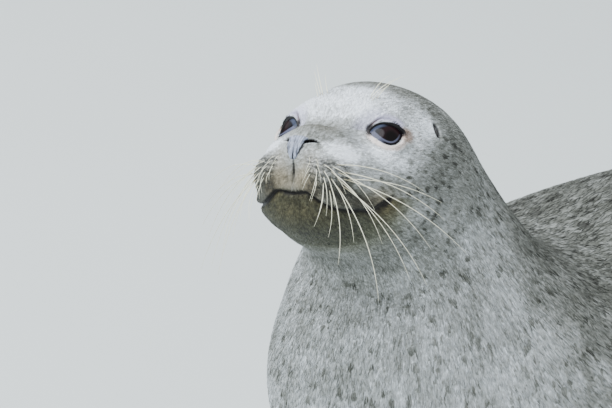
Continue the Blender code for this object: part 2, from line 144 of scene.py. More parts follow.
def ellipsoid(p: Array, centre: Triple, radii: Triple) -> Array:
    """About the distance from an ellipsoid: k (k - 1) / |q / r|, where k is the length of q.

    Args:
        p: Points, xyz along the last axis.
        centre: Its middle.
        radii: Its three radii; q is a point from the middle divided by them.

    Returns:
        Distances, negative inside.
    """
    q = (p - centre) / radii
    near = np.sqrt((q**2).sum(-1))
    steep = np.sqrt(((q / radii) ** 2).sum(-1))
    return near * (near - 1.0) / np.maximum(steep, 1e-9)


def blend(a: Array, b: Array, width: float) -> Array:
    """The lesser of two distances, rounded by a parabola where they are within a width."""
    h = np.clip(0.5 + 0.5 * (b - a) / width, 0.0, 1.0)
    return b + (a - b) * h - width * h * (1.0 - h)


def even_steps(start: float, end: float, places: Row, gaps: Row) -> Array:
    """Stations whose gaps follow a table, found by inverting the running sum of 1 / gap.

    Args:
        start: First station.
        end: Last station.
        places: Where the gaps are given.
        gaps: The gap wanted at each place.

    Returns:
        Rising stations from start to end.
    """
    fine = np.linspace(start, end, 4000)
    rate = 1.0 / np.interp(fine, places, gaps)
    total = chain([0.0], np.cumsum((rate[1:] + rate[:-1]) / 2 * np.diff(fine)))
    return np.interp(np.linspace(0.0, total[-1], int(round(total[-1])) + 1), total, fine)


@dataclass(frozen=True)
class Mass:
    """A rounded mass of the body; one off the middle has a twin on the other side."""

    centre: Triple
    radii: Triple
    width: float = 0.0


@dataclass(frozen=True)
class SealForm:
    """The outside of the coat on the straight seal: a tapering trunk and rounded masses."""

    stations: Row = (
        0.085, 0.125, 0.165, 0.210, 0.270, 0.340, 0.420, 0.520, 0.640, 0.780,
        0.920, 1.050, 1.160, 1.220, 1.270, 1.320, 1.360, 1.385)
    wide: Row = (
        0.048, 0.062, 0.0715, 0.0745, 0.099, 0.133, 0.158, 0.175, 0.181, 0.175,
        0.156, 0.126, 0.094, 0.072, 0.050, 0.034, 0.026, 0.015)
    high: Row = (
        0.046, 0.064, 0.080, 0.082, 0.096, 0.117, 0.133, 0.141, 0.146, 0.141,
        0.126, 0.101, 0.073, 0.054, 0.035, 0.020, 0.012, 0.007)
    deep: Row = (
        0.058, 0.068, 0.078, 0.097, 0.121, 0.142, 0.158, 0.163, 0.158, 0.149,
        0.135, 0.117, 0.095, 0.073, 0.047, 0.025, 0.014, 0.008)
    powers: Pair = (2.15, 2.3)  # superellipse powers above and below the spine
    trunk_width: float = 0.022
    tail_tip: float = 1.391
    cranium: Mass = Mass((0.0, 0.1345, 0.0165), (0.0625, 0.072, 0.060))
    masses: tuple[Mass, ...] = (
        Mass((0.021, 0.100, -0.015), (0.044, 0.046, 0.044), 0.020),  # cheek
        Mass((0.020, 0.066, -0.005), (0.030, 0.038, 0.030), 0.018),  # upper jaw
        Mass((0.0, 0.046, -0.001), (0.0245, 0.034, 0.0205), 0.016),  # snout
        Mass((0.0, 0.054, 0.011), (0.0165, 0.034, 0.016), 0.014),  # bridge of the nose
        Mass((0.0, 0.060, -0.034), (0.048, 0.042, 0.029), 0.012),  # lower jaw
        Mass((0.027, 0.094, 0.027), (0.022, 0.025, 0.025), 0.012),  # brow
        Mass((0.018, 0.0345, -0.018), (0.0235, 0.0265, 0.020), 0.013),  # whisker pad
        Mass((0.0, 0.0225, -0.0015), (0.0115, 0.0125, 0.0115), 0.010),  # nose
    )
    orbit: Mass = Mass((0.048, 0.055, 0.030), (0.024, 0.025, 0.018), 0.010)
    lid: Mass = Mass((0.0352, 0.0868, 0.0210), (0.0205, 0.0205, 0.0195), 0.008)
    depth_s: Row = (0.0, 0.09, 0.20, 0.40, 1.20, 1.39)
    depth: Row = (0.0006, 0.0008, 0.0014, 0.0020, 0.0020, 0.0012)

    def trunk(self, p: Array) -> Array:
        """Distance from the trunk: out (q - 1) / q, where q is the superellipse measure.

        Args:
            p: Straight points.

        Returns:
            Distances, negative inside, rounded off ahead of the first station.
        """
        x, s, z = p[..., 0], p[..., 1], p[..., 2]
        wide = table_curve(s, self.stations, self.wide)
        high = np.where(z > 0, table_curve(s, self.stations, self.high),
                        table_curve(s, self.stations, self.deep))
        power = np.where(z > 0, *self.powers)
        q = ((np.abs(x) / wide) ** power + (np.abs(z) / high) ** power) ** (1.0 / power)
        out = np.hypot(x, z)
        d = np.where(out < 1e-6, -np.minimum(wide, high), out * (q - 1.0) / np.maximum(q, 1e-6))
        ahead = np.maximum(self.stations[0] - s, 0.0)
        return np.where(ahead > 0, np.hypot(np.maximum(d, -0.02) + 0.02, ahead) - 0.02, d)

    def outside(self, p: Array) -> Array:
        """Distance from the outside of the coat: its masses blended, less the hollow of the eye.

        Args:
            p: Straight points.

        Returns:
            Distances, negative inside the seal.
        """
        folded = p.copy()
        folded[..., 0] = np.abs(p[..., 0])
        d = ellipsoid(p, self.cranium.centre, self.cranium.radii)
        for mass in self.masses:
            part = ellipsoid(folded if mass.centre[0] else p, mass.centre, mass.radii)
            d = blend(d, part, mass.width)
        d = blend(d, self.trunk(p), self.trunk_width)
        d = -blend(-d, ellipsoid(folded, self.orbit.centre, self.orbit.radii), self.orbit.width)
        return blend(d, ellipsoid(folded, self.lid.centre, self.lid.radii), self.lid.width)

    def skin(self, p: Array) -> Array:
        """Distance from the skin, which lies a coat's depth inside the outside."""
        return self.outside(p) + np.interp(p[..., 1], self.depth_s, self.depth)

    def normal(self, p: Array, step: float = 0.0004) -> Array:
        """Outward directions at points: the slope of the distance by differences."""
        slopes = [self.outside(p + move) - self.outside(p - move) for move in np.eye(3) * step]
        return unit(np.stack(slopes, -1))

    def reach(self, origins: Array, directions: Array, far: float = 0.25) -> Array:
        """Length of each ray from inside to the skin, by halving 26 times.

        Args:
            origins: Starts of the rays, straight points.
            directions: Their unit directions.
            far: A length that is outside the skin.

        Returns:
            One length a ray.
        """
        low, high = np.zeros(directions.shape[:-1]), np.full(directions.shape[:-1], far)
        for _ in range(26):
            half = (low + high) / 2
            inside = self.skin(origins + directions * half[..., None]) < 0
            low, high = np.where(inside, half, low), np.where(inside, high, half)
        return (low + high) / 2

    def meet(self, origins: Array | Triple, directions: Array | Triple, far: float = 0.25) -> Array:
        """Points where rays from inside meet the skin."""
        origins, directions = np.broadcast_arrays(origins, directions)
        return origins + directions * self.reach(origins, directions, far)[..., None]


@dataclass
class Spine:
    """The curve that the straight seal is bent along.

    The line from tail to nose pitches up by an angle that changes along the seal, and the head
    is also turned and leant. The curve's middle is the running sum of that direction.
    """

    head_pitch: float = math.radians(32.0)
    head_yaw: float = math.radians(8.0)
    head_roll: float = math.radians(9.5)
    neck_pitch: float = math.radians(74.0)
    trunk_pitch: float = math.radians(6.5)
    nape_span: Pair = (0.10, 0.28)
    neck_span: Pair = (0.20, 0.64)
    turn_span: Pair = (0.16, 0.46)
    rest_station: float = 0.74
    rest_height: float = 0.140
    length: float = 1.60
    step: float = 0.002
    s: Array = field(init=False)
    rows: dict[str, Array] = field(init=False)

    def __post_init__(self) -> None:
        """Work out the middle and the three axes at every step."""
        s = np.arange(0.0, self.length + self.step, self.step)
        pitch = (self.head_pitch + (self.neck_pitch - self.head_pitch) * ramp(s, *self.nape_span)
                 + (self.trunk_pitch - self.neck_pitch) * ramp(s, *self.neck_span))
        turn = 1.0 - ramp(s, *self.turn_span)
        yaw, roll = self.head_yaw * turn, self.head_roll * turn
        ahead = heading(yaw, pitch)
        level = pack(np.cos(yaw), np.sin(yaw), 0.0)
        upright = np.cross(ahead, level)
        c, k = np.cos(roll)[:, None], np.sin(roll)[:, None]
        steps = (ahead[1:] + ahead[:-1]) / 2 * self.step
        middle = chain(np.zeros((1, 3)), -np.cumsum(steps, 0))
        middle += (0.0, 0.0, self.rest_height) - middle[int(round(self.rest_station / self.step))]
        self.s = s
        self.rows = {"middle": middle, "ahead": ahead, "left": level * c + upright * k,
                     "up": upright * c - level * k}

    def at(self, s: Array | float, row: str) -> Array:
        """One of the rows read at stations s."""
        values = self.rows[row]
        return np.stack([np.interp(s, self.s, values[:, i]) for i in range(3)], -1)

    def pose(self, p: Array) -> Array:
        """Bend straight points into place: middle + x left + z up, run on ahead of the nose."""
        s = np.clip(p[..., 1], 0.0, self.length)
        beyond = np.minimum(p[..., 1], 0.0)[..., None]
        return (self.at(s, "middle") + p[..., :1] * self.at(s, "left")
                + p[..., 2:] * self.at(s, "up") - beyond * self.at(s, "ahead"))

    def axes(self, station: float) -> Array:
        """Where the straight seal's x, s and z point at a station in place, as rows."""
        return np.stack([self.at(station, "left"), -self.at(station, "ahead"), self.at(station, "up")])

    def straighten(self, points: Array, near: Array) -> Array:
        """Posed points in the straight seal's measures, held rigid at the station by a point."""
        station = float(self.s[np.argmin(np.linalg.norm(self.rows["middle"] - near, axis=1))])
        return (points - self.at(station, "middle")) @ self.axes(station).T + (0.0, station, 0.0)


FORM = SealForm()
SPINE = Spine()


# --- Meshes from arrays


@dataclass
class Surface:
    """Points and faces of a mesh, with named values at its points."""

    points: Array
    faces: list[Array]
    values: dict[str, Array] = field(default_factory=dict)

    def joined(self, other: "Surface") -> "Surface":
        """This surface and another as one; both hold the same named values."""
        moved = [f + len(self.points) for f in other.faces]
        values = {k: chain(v, other.values[k]) for k, v in self.values.items()}
        return Surface(chain(self.points, other.points), self.faces + moved, values)

    def make(self, name: str) -> Object:
        """A smooth-shaded object of this surface, linked to the scene.

        Args:
            name: The object's name.

        Returns:
            The new object, at the origin.
        """
        mesh = bpy.data.meshes.new(name)
        mesh.vertices.add(len(self.points))
        mesh.vertices.foreach_set("co", self.points.astype(np.float32).ravel())
        sizes = np.concatenate([np.full(len(f), f.shape[1]) for f in self.faces])
        corners = np.concatenate([f.ravel() for f in self.faces])
        mesh.loops.add(len(corners))
        mesh.loops.foreach_set("vertex_index", corners.astype(np.int32))
        mesh.polygons.add(len(sizes))
        starts = chain([0], np.cumsum(sizes)[:-1])
        mesh.polygons.foreach_set("loop_start", starts.astype(np.int32))
        mesh.update(calc_edges=True)
        mesh.shade_smooth()
        for key, value in self.values.items():
            write_values(mesh, key, value)
        obj = bpy.data.objects.new(name, mesh)
        bpy.context.scene.collection.objects.link(obj)
        return obj


def strip_faces(rows: int, around: int, first: int = 0, closed: bool = True) -> Array:
    """Quads of a grid of rows, each row a ring when closed.

    Args:
        rows: Number of rows.
        around: Points in each row.
        first: Number of the first point.
        closed: Whether the last point of a row joins the first.

    Returns:
        An array of faces with four corners, facing out where rows run back and rings turn left.
    """
    count = around if closed else around - 1
    i, j = np.meshgrid(np.arange(rows - 1), np.arange(count), indexing="ij")
    k = (j + 1) % around
    quads = pack(i * around + j, i * around + k, (i + 1) * around + k, (i + 1) * around + j)
    return quads.reshape(-1, 4) + first


def tubes(rings: Array, start: Array, end: Array) -> Surface:
    """Closed tubes through rings, with a pole at each end.

    Args:
        rings: Array (tube, ring, around, 3).
        start: First poles, array (tube, 3).
        end: Last poles, array (tube, 3).

    Returns:
        One surface of all the tubes.
    """
    count, rows, around = rings.shape[:3]
    block = rows * around + 2
    points = np.concatenate([rings.reshape(count, -1, 3), start[:, None], end[:, None]], 1)
    j = np.arange(around)
    k = (j + 1) % around
    last = (rows - 1) * around
    nose = pack(k, j, rows * around)
    tail = pack(last + j, last + k, rows * around + 1)
    shift = (np.arange(count) * block)[:, None, None]
    quads = (strip_faces(rows, around)[None] + shift).reshape(-1, 4)
    fans = (chain(nose, tail)[None] + shift).reshape(-1, 3)
    return Surface(points.reshape(-1, 3), [quads, fans])


def swept(path: Array, radius: Array, sides: int, flat: float = 1.0) -> Surface:
    """Tubes round paths, each ring square to its path.

    Args:
        path: Array (tube, point, 3).
        radius: Array (tube, point).
        sides: Points round each ring.
        flat: Thickness as a share of the width.

    Returns:
        The tubes, closed at both ends, with along, the share from start to end.
    """
    along = unit(np.gradient(path, axis=1))
    side = unit(np.cross(along, np.broadcast_to((0.05, 0.02, 1.0), along.shape)))
    up = np.cross(side, along)
    turn = np.linspace(0.0, 2 * math.pi, sides, endpoint=False)
    spokes = (np.cos(turn)[:, None] * side[..., None, :]
              - flat * np.sin(turn)[:, None] * up[..., None, :])
    rings = path[..., None, :] + radius[..., None, None] * spokes
    surface = tubes(rings, path[:, 0] - along[:, 0] * radius[:, :1] * 0.5,
                    path[:, -1] + along[:, -1] * radius[:, -1:] * 0.5)
    share = np.repeat(np.linspace(0.0, 1.0, path.shape[1]), sides)
    surface.values["along"] = np.tile(chain(share, [0.0, 1.0]), len(path))
    return surface


# --- Openings of the head, in the straight seal


@dataclass(frozen=True)
class Fold:
    """A fold of a lid along the opening, as a bump of the skin, or a groove if it's negative."""

    rise: float
    away: float  # distance from the opening, beyond a share of the upper crease's
    width: float
    shares: Pair = (0.0, 0.0)  # of the crease's distance, added to away and to width
    upper: bool = True
    ends: Pair = (1.6, 0.9)  # shares along the opening where it starts and where it's full


@dataclass(frozen=True)
class Eye:
    """An eye: its ball, the almond opening before it and the lids round that."""

    side: int
    centre: Triple = (0.0352, 0.0868, 0.0210)
    radius: float = 0.0187
    turn: float = math.radians(37.0)
    tilt: float = math.radians(12.0)
    inner: Pair = (-0.0130, 0.0038)
    outer: Pair = (0.0131, 0.0053)
    lift: float = 0.0066
    sag: float = 0.0110
    skew: Pair = (-0.20, 0.28)  # how the upper and lower bows lean outward
    thickness: float = 0.0017  # of the lids at their margin
    reach: float = 0.030  # how far the lids' folds run
    reach_fade: float = 0.006
    contact: float = 0.012  # the lids lie on the ball within this distance of the opening
    crease_size: Pair = (0.0054, 0.0028)  # distance of the upper crease, and how much less at the ends
    folds: tuple[Fold, ...] = (
        Fold(-0.0014, 0.0, 0.0009, (1.0, 0.0), ends=(1.35, 1.0)),
        Fold(0.0009, 0.0, 0.0, (0.58, 0.30)),
        Fold(0.0007, 0.0024, 0.0018, (1.0, 0.0)),
        Fold(-0.0007, 0.0042, 0.0009, upper=False),
        Fold(0.0005, 0.0022, 0.0012, upper=False),
        Fold(-0.0005, 0.0090, 0.0014, upper=False),
    )

    def axes(self) -> tuple[Array, Array, Array]:
        """Across, forward and up of the eye as unit vectors of the straight seal."""
        forward = heading(self.side * self.turn, self.tilt)
        across = np.array((self.side * math.cos(self.turn), math.sin(self.turn), 0.0))
        up = np.cross(forward, across) * self.side
        return across, forward, up if up[2] > 0 else -up

    def middle(self) -> Array:
        """The ball's centre on this side."""
        return mirrored(self.centre, self.side)

    def local(self, p: Array) -> tuple[Array, Array, Array]:
        """Across, forward and up of points, measured from the ball's centre."""
        q = p - self.middle()
        return tuple(q @ axis for axis in self.axes())

    def half_heights(self, t: Array) -> tuple[Array, Array]:
        """Heights of the opening above and below its long line: (1 - t^2)^p (1 + skew t)."""
        bow = np.maximum(1.0 - t * t, 0.0)
        return (self.lift * bow**0.80 * (1 + self.skew[0] * t),
                self.sag * bow**0.66 * (1 + self.skew[1] * t))

    def share(self, across: Array) -> Array:
        """-1 at the inner corner and 1 at the outer corner."""
        return (2 * across - self.inner[0] - self.outer[0]) / (self.outer[0] - self.inner[0])

    def line(self, t: Array) -> Array:
        """Height of the long line from corner to corner."""
        return (self.inner[1] + self.outer[1]) / 2 + (self.outer[1] - self.inner[1]) / 2 * t

    def outline(self, count: int = 240) -> Array:
        """Points (across, up) round the opening, from the inner corner over the top."""
        angle = np.linspace(0.0, 2 * math.pi, count, endpoint=False)
        t = -np.cos(angle)
        over, under = self.half_heights(t)
        across = (self.inner[0] + self.outer[0]) / 2 + (self.outer[0] - self.inner[0]) / 2 * t
        return pack(across, self.line(t) + np.where(angle < math.pi, over, -under))

    def crease(self, t: Array) -> Array:
        """Distance of the upper lid's fold from the opening: least at the corners."""
        return self.crease_size[0] - self.crease_size[1] * np.minimum(t * t, 1.0)

    def edge(self, across: Array, up: Array) -> tuple[Array, Array]:
        """Distance from the opening's outline and the nearest point on it.

        Args:
            across: Places across the face of the eye.
            up: Places up it.

        Returns:
            Distances, negative inside the opening, and nearest points (across, up).
        """
        outline = self.outline()
        gap = np.hypot(across[:, None] - outline[:, 0], up[:, None] - outline[:, 1])
        nearest = np.argmin(gap, axis=1)
        t = self.share(across)
        over, under = self.half_heights(np.clip(t, -1, 1))
        rise = up - self.line(t)
        inside = (np.abs(t) < 1) & (rise < over) & (rise > -under)
        return np.where(inside, -1.0, 1.0) * gap.min(axis=1), outline[nearest]

    def ball(self, across: Array, up: Array) -> Array:
        """How far forward the ball's surface stands over a place: a circle's height."""
        return np.sqrt(np.maximum(self.radius**2 - across**2 - up**2, 1e-8))

    def near(self, p: Array) -> Array:
        """Which straight points the lids reach."""
        across, forward, up = self.local(p)
        return (np.hypot(across, up) < self.reach) & (forward > 0.0)

    def lids(self, p: Array, snap: float) -> Array:
        """Points near the eye, moved into lids with folds.

        The skin rolls down to the ball over the margin's thickness, dips behind the ball inside
        the opening, and is grooved by one fold above and two below.

        Args:
            p: Straight points on the skin, array (n, 3).
            snap: Points this near the outline are moved onto it.

        Returns:
            The moved points.
        """
        across, forward, up = self.local(p)
        gap, nearest = self.edge(across, up)
        on = np.abs(gap) < snap
        across = np.where(on, nearest[:, 0], across)
        up = np.where(on, nearest[:, 1], up)
        gap = np.where(on, 0.0, gap)
        t = self.share(across)
        upper = ramp(up - self.line(t), -0.002, 0.003)
        crease = self.crease(t)
        bumps = 0.0
        for fold in self.folds:
            away = gap - fold.shares[0] * crease - fold.away
            bump = fold.rise * bell(away, fold.width + fold.shares[1] * crease)
            bumps += bump * (upper if fold.upper else 1 - upper) * ramp(np.abs(t), *fold.ends)
        ball = self.ball(across, up)
        roll = ramp(gap, -0.0001, self.thickness)
        lid = np.maximum(forward + bumps, ball + 0.0011 * ramp(gap, 0.0, 0.001))
        lid = np.where(gap > self.contact, forward + bumps, lid)
        shut = (ball + 0.0003) * (1 - roll) + lid * roll
        hidden = ball - 0.0030 * ramp(gap, 0.0, -0.0014)
        forward = np.where(gap < -1e-5, hidden, shut)
        axes = self.axes()
        moved = self.middle() + sum(v[:, None] * a for v, a in zip((across, forward, up), axes))
        fade = ramp(np.hypot(*self.local(p)[::2]), self.reach, self.reach - self.reach_fade)[:, None]
        return p + (moved - p) * fade


@dataclass(frozen=True)
class Slit:
    """A narrow hole in the skin: an ellipse across the surface, and how deep it goes."""

    middle: Triple
    along: Triple
    inward: Triple
    length: float
    width: float
    depth: float
    bow: float = 0.0  # drop of the ends, over the square of their distance from the middle

    def axes(self, side: int) -> tuple[Array, Array, Array]:
        """Along, across and inward axes on one side."""
        along, inward = mirrored(unit(np.array(self.along)), side), mirrored(self.inward, side)
        inward = unit(inward - along * inward.dot(along))
        return along, np.cross(along, inward) * side, inward

    def measure(self, p: Array, side: int) -> Array:
        """0 on the slit's middle and 1 on its rim, for points in front of its floor."""
        q = p - mirrored(self.middle, side)
        along, across, inward = self.axes(side)
        deep = np.abs(q @ inward)
        run = q @ along
        flat = np.hypot(run / self.length, (q @ across + self.bow * run * run) / self.width)
        return np.where(deep < 0.02, flat, FAR)

    def either(self, p: Array) -> Array:
        """The measure of the nearer of the left and the right slit."""
        return np.minimum(self.measure(p, 1), self.measure(p, -1))

    def sink(self, p: Array, side: int) -> Array:
        """Points moved in by the depth inside the slit, and raised a little on its rim."""
        q = self.measure(p, side)
        inward = self.axes(side)[2]
        amount = self.depth * ramp(q, 1.15, 0.45) - 0.0006 * bell(q - 1.7, 0.5)
        return p + inward * amount[..., None]


NOSTRIL = Slit((0.0102, 0.0164, 0.0086), (0.69, 0.70, 0.18), (-0.60, 0.65, -0.45),
               0.0064, 0.0016, 0.0045, 34.0)
EAR = Slit((0.0585, 0.1280, 0.0405), (-0.45, 0.0, 0.90), (-0.88, 0.05, -0.47),
           0.0064, 0.0029, 0.0048)


@dataclass(frozen=True)
class Mouth:
    """The line between the lips: its height against distance from the middle."""

    x: Row = (0.0, 0.014, 0.019, 0.025, 0.038, 0.049, 0.0555, 0.075)
    z: Row = (-0.0325, -0.033, -0.036, -0.0395, -0.041, -0.035, -0.0255, -0.015)
    back: float = 0.0735
    size: Pair = (0.0030, 0.0012)  # depth and width of the line's groove
    upper_lip: Triple = (0.0011, 0.0038, 0.0026)  # its roll's rise, height over the line and width
    lower_lip: Triple = (0.0007, -0.0050, 0.0022)
    tuck: Pair = (0.0014, 0.014)  # how far the lower lip lies in, and over what height
    cleft: Pair = (-0.0335, -0.0085)  # heights of the groove below the nose
    cleft_size: Pair = (0.0015, 0.0010)  # its depth and width

    def above(self, p: Array) -> Array:
        """Height above the line, squared up to the line's slope."""
        x = np.abs(p[..., 0])
        low, high = (table_curve(x + step, self.x, self.z) for step in (-MM, MM))
        slope = (high - low) / (2 * MM)
        return (p[..., 2] - table_curve(x, self.x, self.z)) / np.hypot(1.0, slope)

    def line(self, p: Array) -> Array:
        """Distance from the line, which ends at its corner."""
        return np.hypot(self.above(p), np.maximum(p[..., 1] - self.back, 0.0))

    def groove(self, p: Array) -> Array:
        """How far the skin is moved out: a groove along the line between two rounded lips.

        Args:
            p: Straight points on the skin.

        Returns:
            One distance a point, with the cleft below the nose.
        """
        above, line = self.above(p), self.line(p)
        ahead = ramp(p[..., 1], self.back + 0.012, self.back - 0.012)
        (up_rise, up_place, up_width), (low_rise, low_place, low_width) = self.upper_lip, self.lower_lip
        move = -self.size[0] * bell(line, self.size[1])
        move += up_rise * bell(above - up_place, up_width) * ahead
        move -= self.tuck[0] * ramp(above, 0.0008, -0.0016) * bell(above, self.tuck[1]) * ahead
        move += low_rise * bell(above - low_place, low_width) * ahead
        cleft = ramp(p[..., 2], self.cleft[0], self.cleft[0] + 0.016)
        cleft = cleft * ramp(p[..., 2], self.cleft[1] + 0.002, self.cleft[1] - 0.003)
        front = ramp(p[..., 1], 0.034, 0.022)
        return move - self.cleft_size[0] * bell(p[..., 0], self.cleft_size[1]) * cleft * front


@dataclass(frozen=True)
class WhiskerPad:
    """The rows of whiskers on the muzzle, as angles seen from inside it."""

    centre: Triple = (0.0, 0.045, -0.010)
    first_turn: float = 21.0  # degrees from straight ahead, of the first whisker in a row
    turn_step: float = 6.6
    top_rise: float = 9.0  # degrees above level, of the top row
    rise_step: float = 6.4
    slant: float = 0.22  # columns that each row is set back
    back: float = 0.06  # the rows end ahead of this station
    rows: tuple[int, ...] = (2, 5, 6, 7, 6, 4)
    bare: tuple[int, ...] = (0, 0, 0, 0, 1, 2)  # places at the front of each row without one

    def place(self, p: Array) -> tuple[Array, Array]:
        """Row and column of points, whole numbers where whiskers stand.

        Args:
            p: Straight points.

        Returns:
            Row numbers from the top and column numbers from the front.
        """
        q = p - self.centre
        turn = np.degrees(np.arctan2(np.abs(q[..., 0]), -q[..., 1]))
        rise = np.degrees(np.arctan2(q[..., 2], np.hypot(q[..., 0], q[..., 1])))
        row = (self.top_rise - rise) / self.rise_step
        return row, (turn - self.first_turn) / self.turn_step - self.slant * row

    def inside(self, p: Array) -> Array:
        """1 on the rows and 0 off them."""
        row, column = self.place(p)
        return (ramp(row, -0.6, 1.0) * ramp(row, 6.6, 5.4) * ramp(column, -1.1, -0.2)
                * ramp(column, 7.6, 6.2) * (p[..., 1] < self.back))

    def directions(self) -> tuple[Array, Array, Array]:
        """Ray directions of the left whiskers, with their rows and columns."""
        columns = [np.arange(bare, n) for bare, n in zip(self.bare, self.rows)]
        row = np.repeat(np.arange(len(columns)), [len(c) for c in columns]).astype(float)
        column = np.concatenate(columns).astype(float)
        turn = np.radians(self.first_turn + self.turn_step * (column + self.slant * row))
        rise = np.radians(self.top_rise - self.rise_step * row)
        return heading(turn, rise), row, column


@dataclass(frozen=True)
class NoseOutline:
    """The outline of the nose pad in the plane across the seal."""

    half: tuple[Pair, ...] = (
        (0.0, 0.0118), (0.0042, 0.0119), (0.0076, 0.0106), (0.0082, 0.0086), (0.0066, 0.0050),
        (0.0053, 0.0), (0.0041, -0.0040), (0.0024, -0.0074), (0.0, -0.0084))
    middle: float = 0.0040
    front: float = 0.026  # the pad lies ahead of this station

    def reach(self, angle: Array) -> Array:
        """Distance of the outline from its middle at an angle from straight up."""
        points = np.array(self.half) - (0.0, self.middle)
        at = np.arctan2(points[:, 0], points[:, 1])
        at[-1] = math.pi
        return np.interp(np.abs(angle), at, np.hypot(points[:, 0], points[:, 1]))

    def measure(self, p: Array) -> Array:
        """0 in the middle of the pad, 1 on its outline and more outside."""
        x, z = p[..., 0], p[..., 2] - self.middle
        angle = np.arctan2(x, z)
        share = np.hypot(x, z) / self.reach(angle)
        return np.where(p[..., 1] < self.front, share, FAR)


MARKINGS = ("rest", "tone", "lids", "marks", "pad")  # named values that the finish reads
EYES = (Eye(1), Eye(-1))
MOUTH = Mouth()
PAD = WhiskerPad()
NOSE = NoseOutline()


@dataclass(frozen=True)
class Patch:
    """A soft-edged patch of the coat on both sides: where it is, how big and what it adds."""

    centre: Triple
    radii: Triple
    dark: float = 0.0
    warm: float = 0.0
    spots: float = 0.0

    def add(self, p: Array, tone: Array) -> None:
        """Add the patch to dark, warm and spots, by exp of minus the squared measure."""
        folded = np.abs(p) * (1.0, 0.0, 0.0) + p * (0.0, 1.0, 1.0)
        k = np.exp(-(((folded - self.centre) / self.radii) ** 2).sum(-1))
        tone += k[:, None] * (self.dark, self.warm, self.spots)


HEAD_PATCHES = (
    Patch((0.0, 0.074, 0.052), (0.026, 0.020, 0.018), dark=-0.85, spots=-0.6),  # forehead: pale coat, partly a painted highlight of the top-lit forehead
    Patch((0.026, 0.088, 0.052), (0.022, 0.026, 0.018), dark=-0.50, spots=-0.5),  # brows
    Patch((0.0, 0.132, 0.078), (0.055, 0.032, 0.028), dark=0.13, warm=0.10, spots=0.3),  # crown
    Patch((0.0, 0.175, 0.080), (0.075, 0.035, 0.045), dark=0.22, spots=0.3),  # nape
    Patch((0.048, 0.122, 0.064), (0.016, 0.018, 0.012), dark=-0.06, spots=0.4),  # temple
    Patch((0.046, 0.104, 0.050), (0.012, 0.012, 0.008), dark=0.12),  # above the eye
    Patch((0.003, 0.041, 0.020), (0.012, 0.014, 0.010), dark=0.30, warm=0.38),  # nose bridge
    Patch((0.023, 0.030, 0.003), (0.013, 0.014, 0.009), dark=-0.40),  # by the nostril
    Patch((0.032, 0.036, -0.001), (0.012, 0.012, 0.008), dark=-0.42, spots=-0.3),
    Patch((0.036, 0.060, 0.008), (0.020, 0.018, 0.014), dark=-0.22, spots=-0.4),  # before the eye
    Patch((0.050, 0.078, 0.006), (0.022, 0.020, 0.010), dark=-0.46, spots=-0.4),  # below the eye
    Patch((0.058, 0.098, 0.030), (0.018, 0.016, 0.018), dark=-0.34, warm=0.05, spots=-0.5),
    Patch((0.056, 0.118, 0.044), (0.014, 0.010, 0.014), dark=-0.45, spots=-0.4),  # before the ear
    Patch((0.052, 0.084, -0.008), (0.024, 0.026, 0.013), dark=0.20, spots=0.5),  # cheek
    Patch((0.058, 0.094, -0.026), (0.020, 0.026, 0.012), dark=-0.16),
    Patch((0.064, 0.112, -0.008), (0.030, 0.034, 0.026), dark=0.06, spots=0.80),
    Patch((0.062, 0.108, 0.008), (0.022, 0.020, 0.018), dark=0.08, spots=0.55),
    Patch((0.070, 0.150, 0.015), (0.035, 0.032, 0.045), dark=0.16, spots=0.8),  # side of neck
    Patch((0.008, 0.012, -0.023), (0.011, 0.020, 0.010), dark=0.16, warm=1.0),  # front of lips
    Patch((0.013, 0.012, -0.006), (0.008, 0.016, 0.008), dark=-0.02, warm=0.30),  # below the nostril
    # painted shadow under the front of the upper lip, with some of the lips' olive-brown
    Patch((0.018, 0.012, -0.030), (0.006, 0.020, 0.009), dark=0.55, warm=0.80),
    Patch((0.031, 0.020, -0.012), (0.015, 0.020, 0.010), dark=0.12, warm=0.10, spots=-0.2),  # pads
    # dark under the whisker pads above the mouth line: partly the pads' dark colour, partly painted
    # shade under their overhang
    Patch((0.036, 0.028, -0.030), (0.014, 0.022, 0.009), dark=0.68, warm=0.10),
    Patch((0.046, 0.050, -0.033), (0.014, 0.020, 0.008), dark=0.56, warm=0.20),
    Patch((0.055, 0.068, -0.030), (0.012, 0.014, 0.010), dark=0.30, warm=1.0),  # mouth corner
    Patch((0.0, 0.030, -0.046), (0.032, 0.030, 0.010), warm=0.55),  # lower lip
)


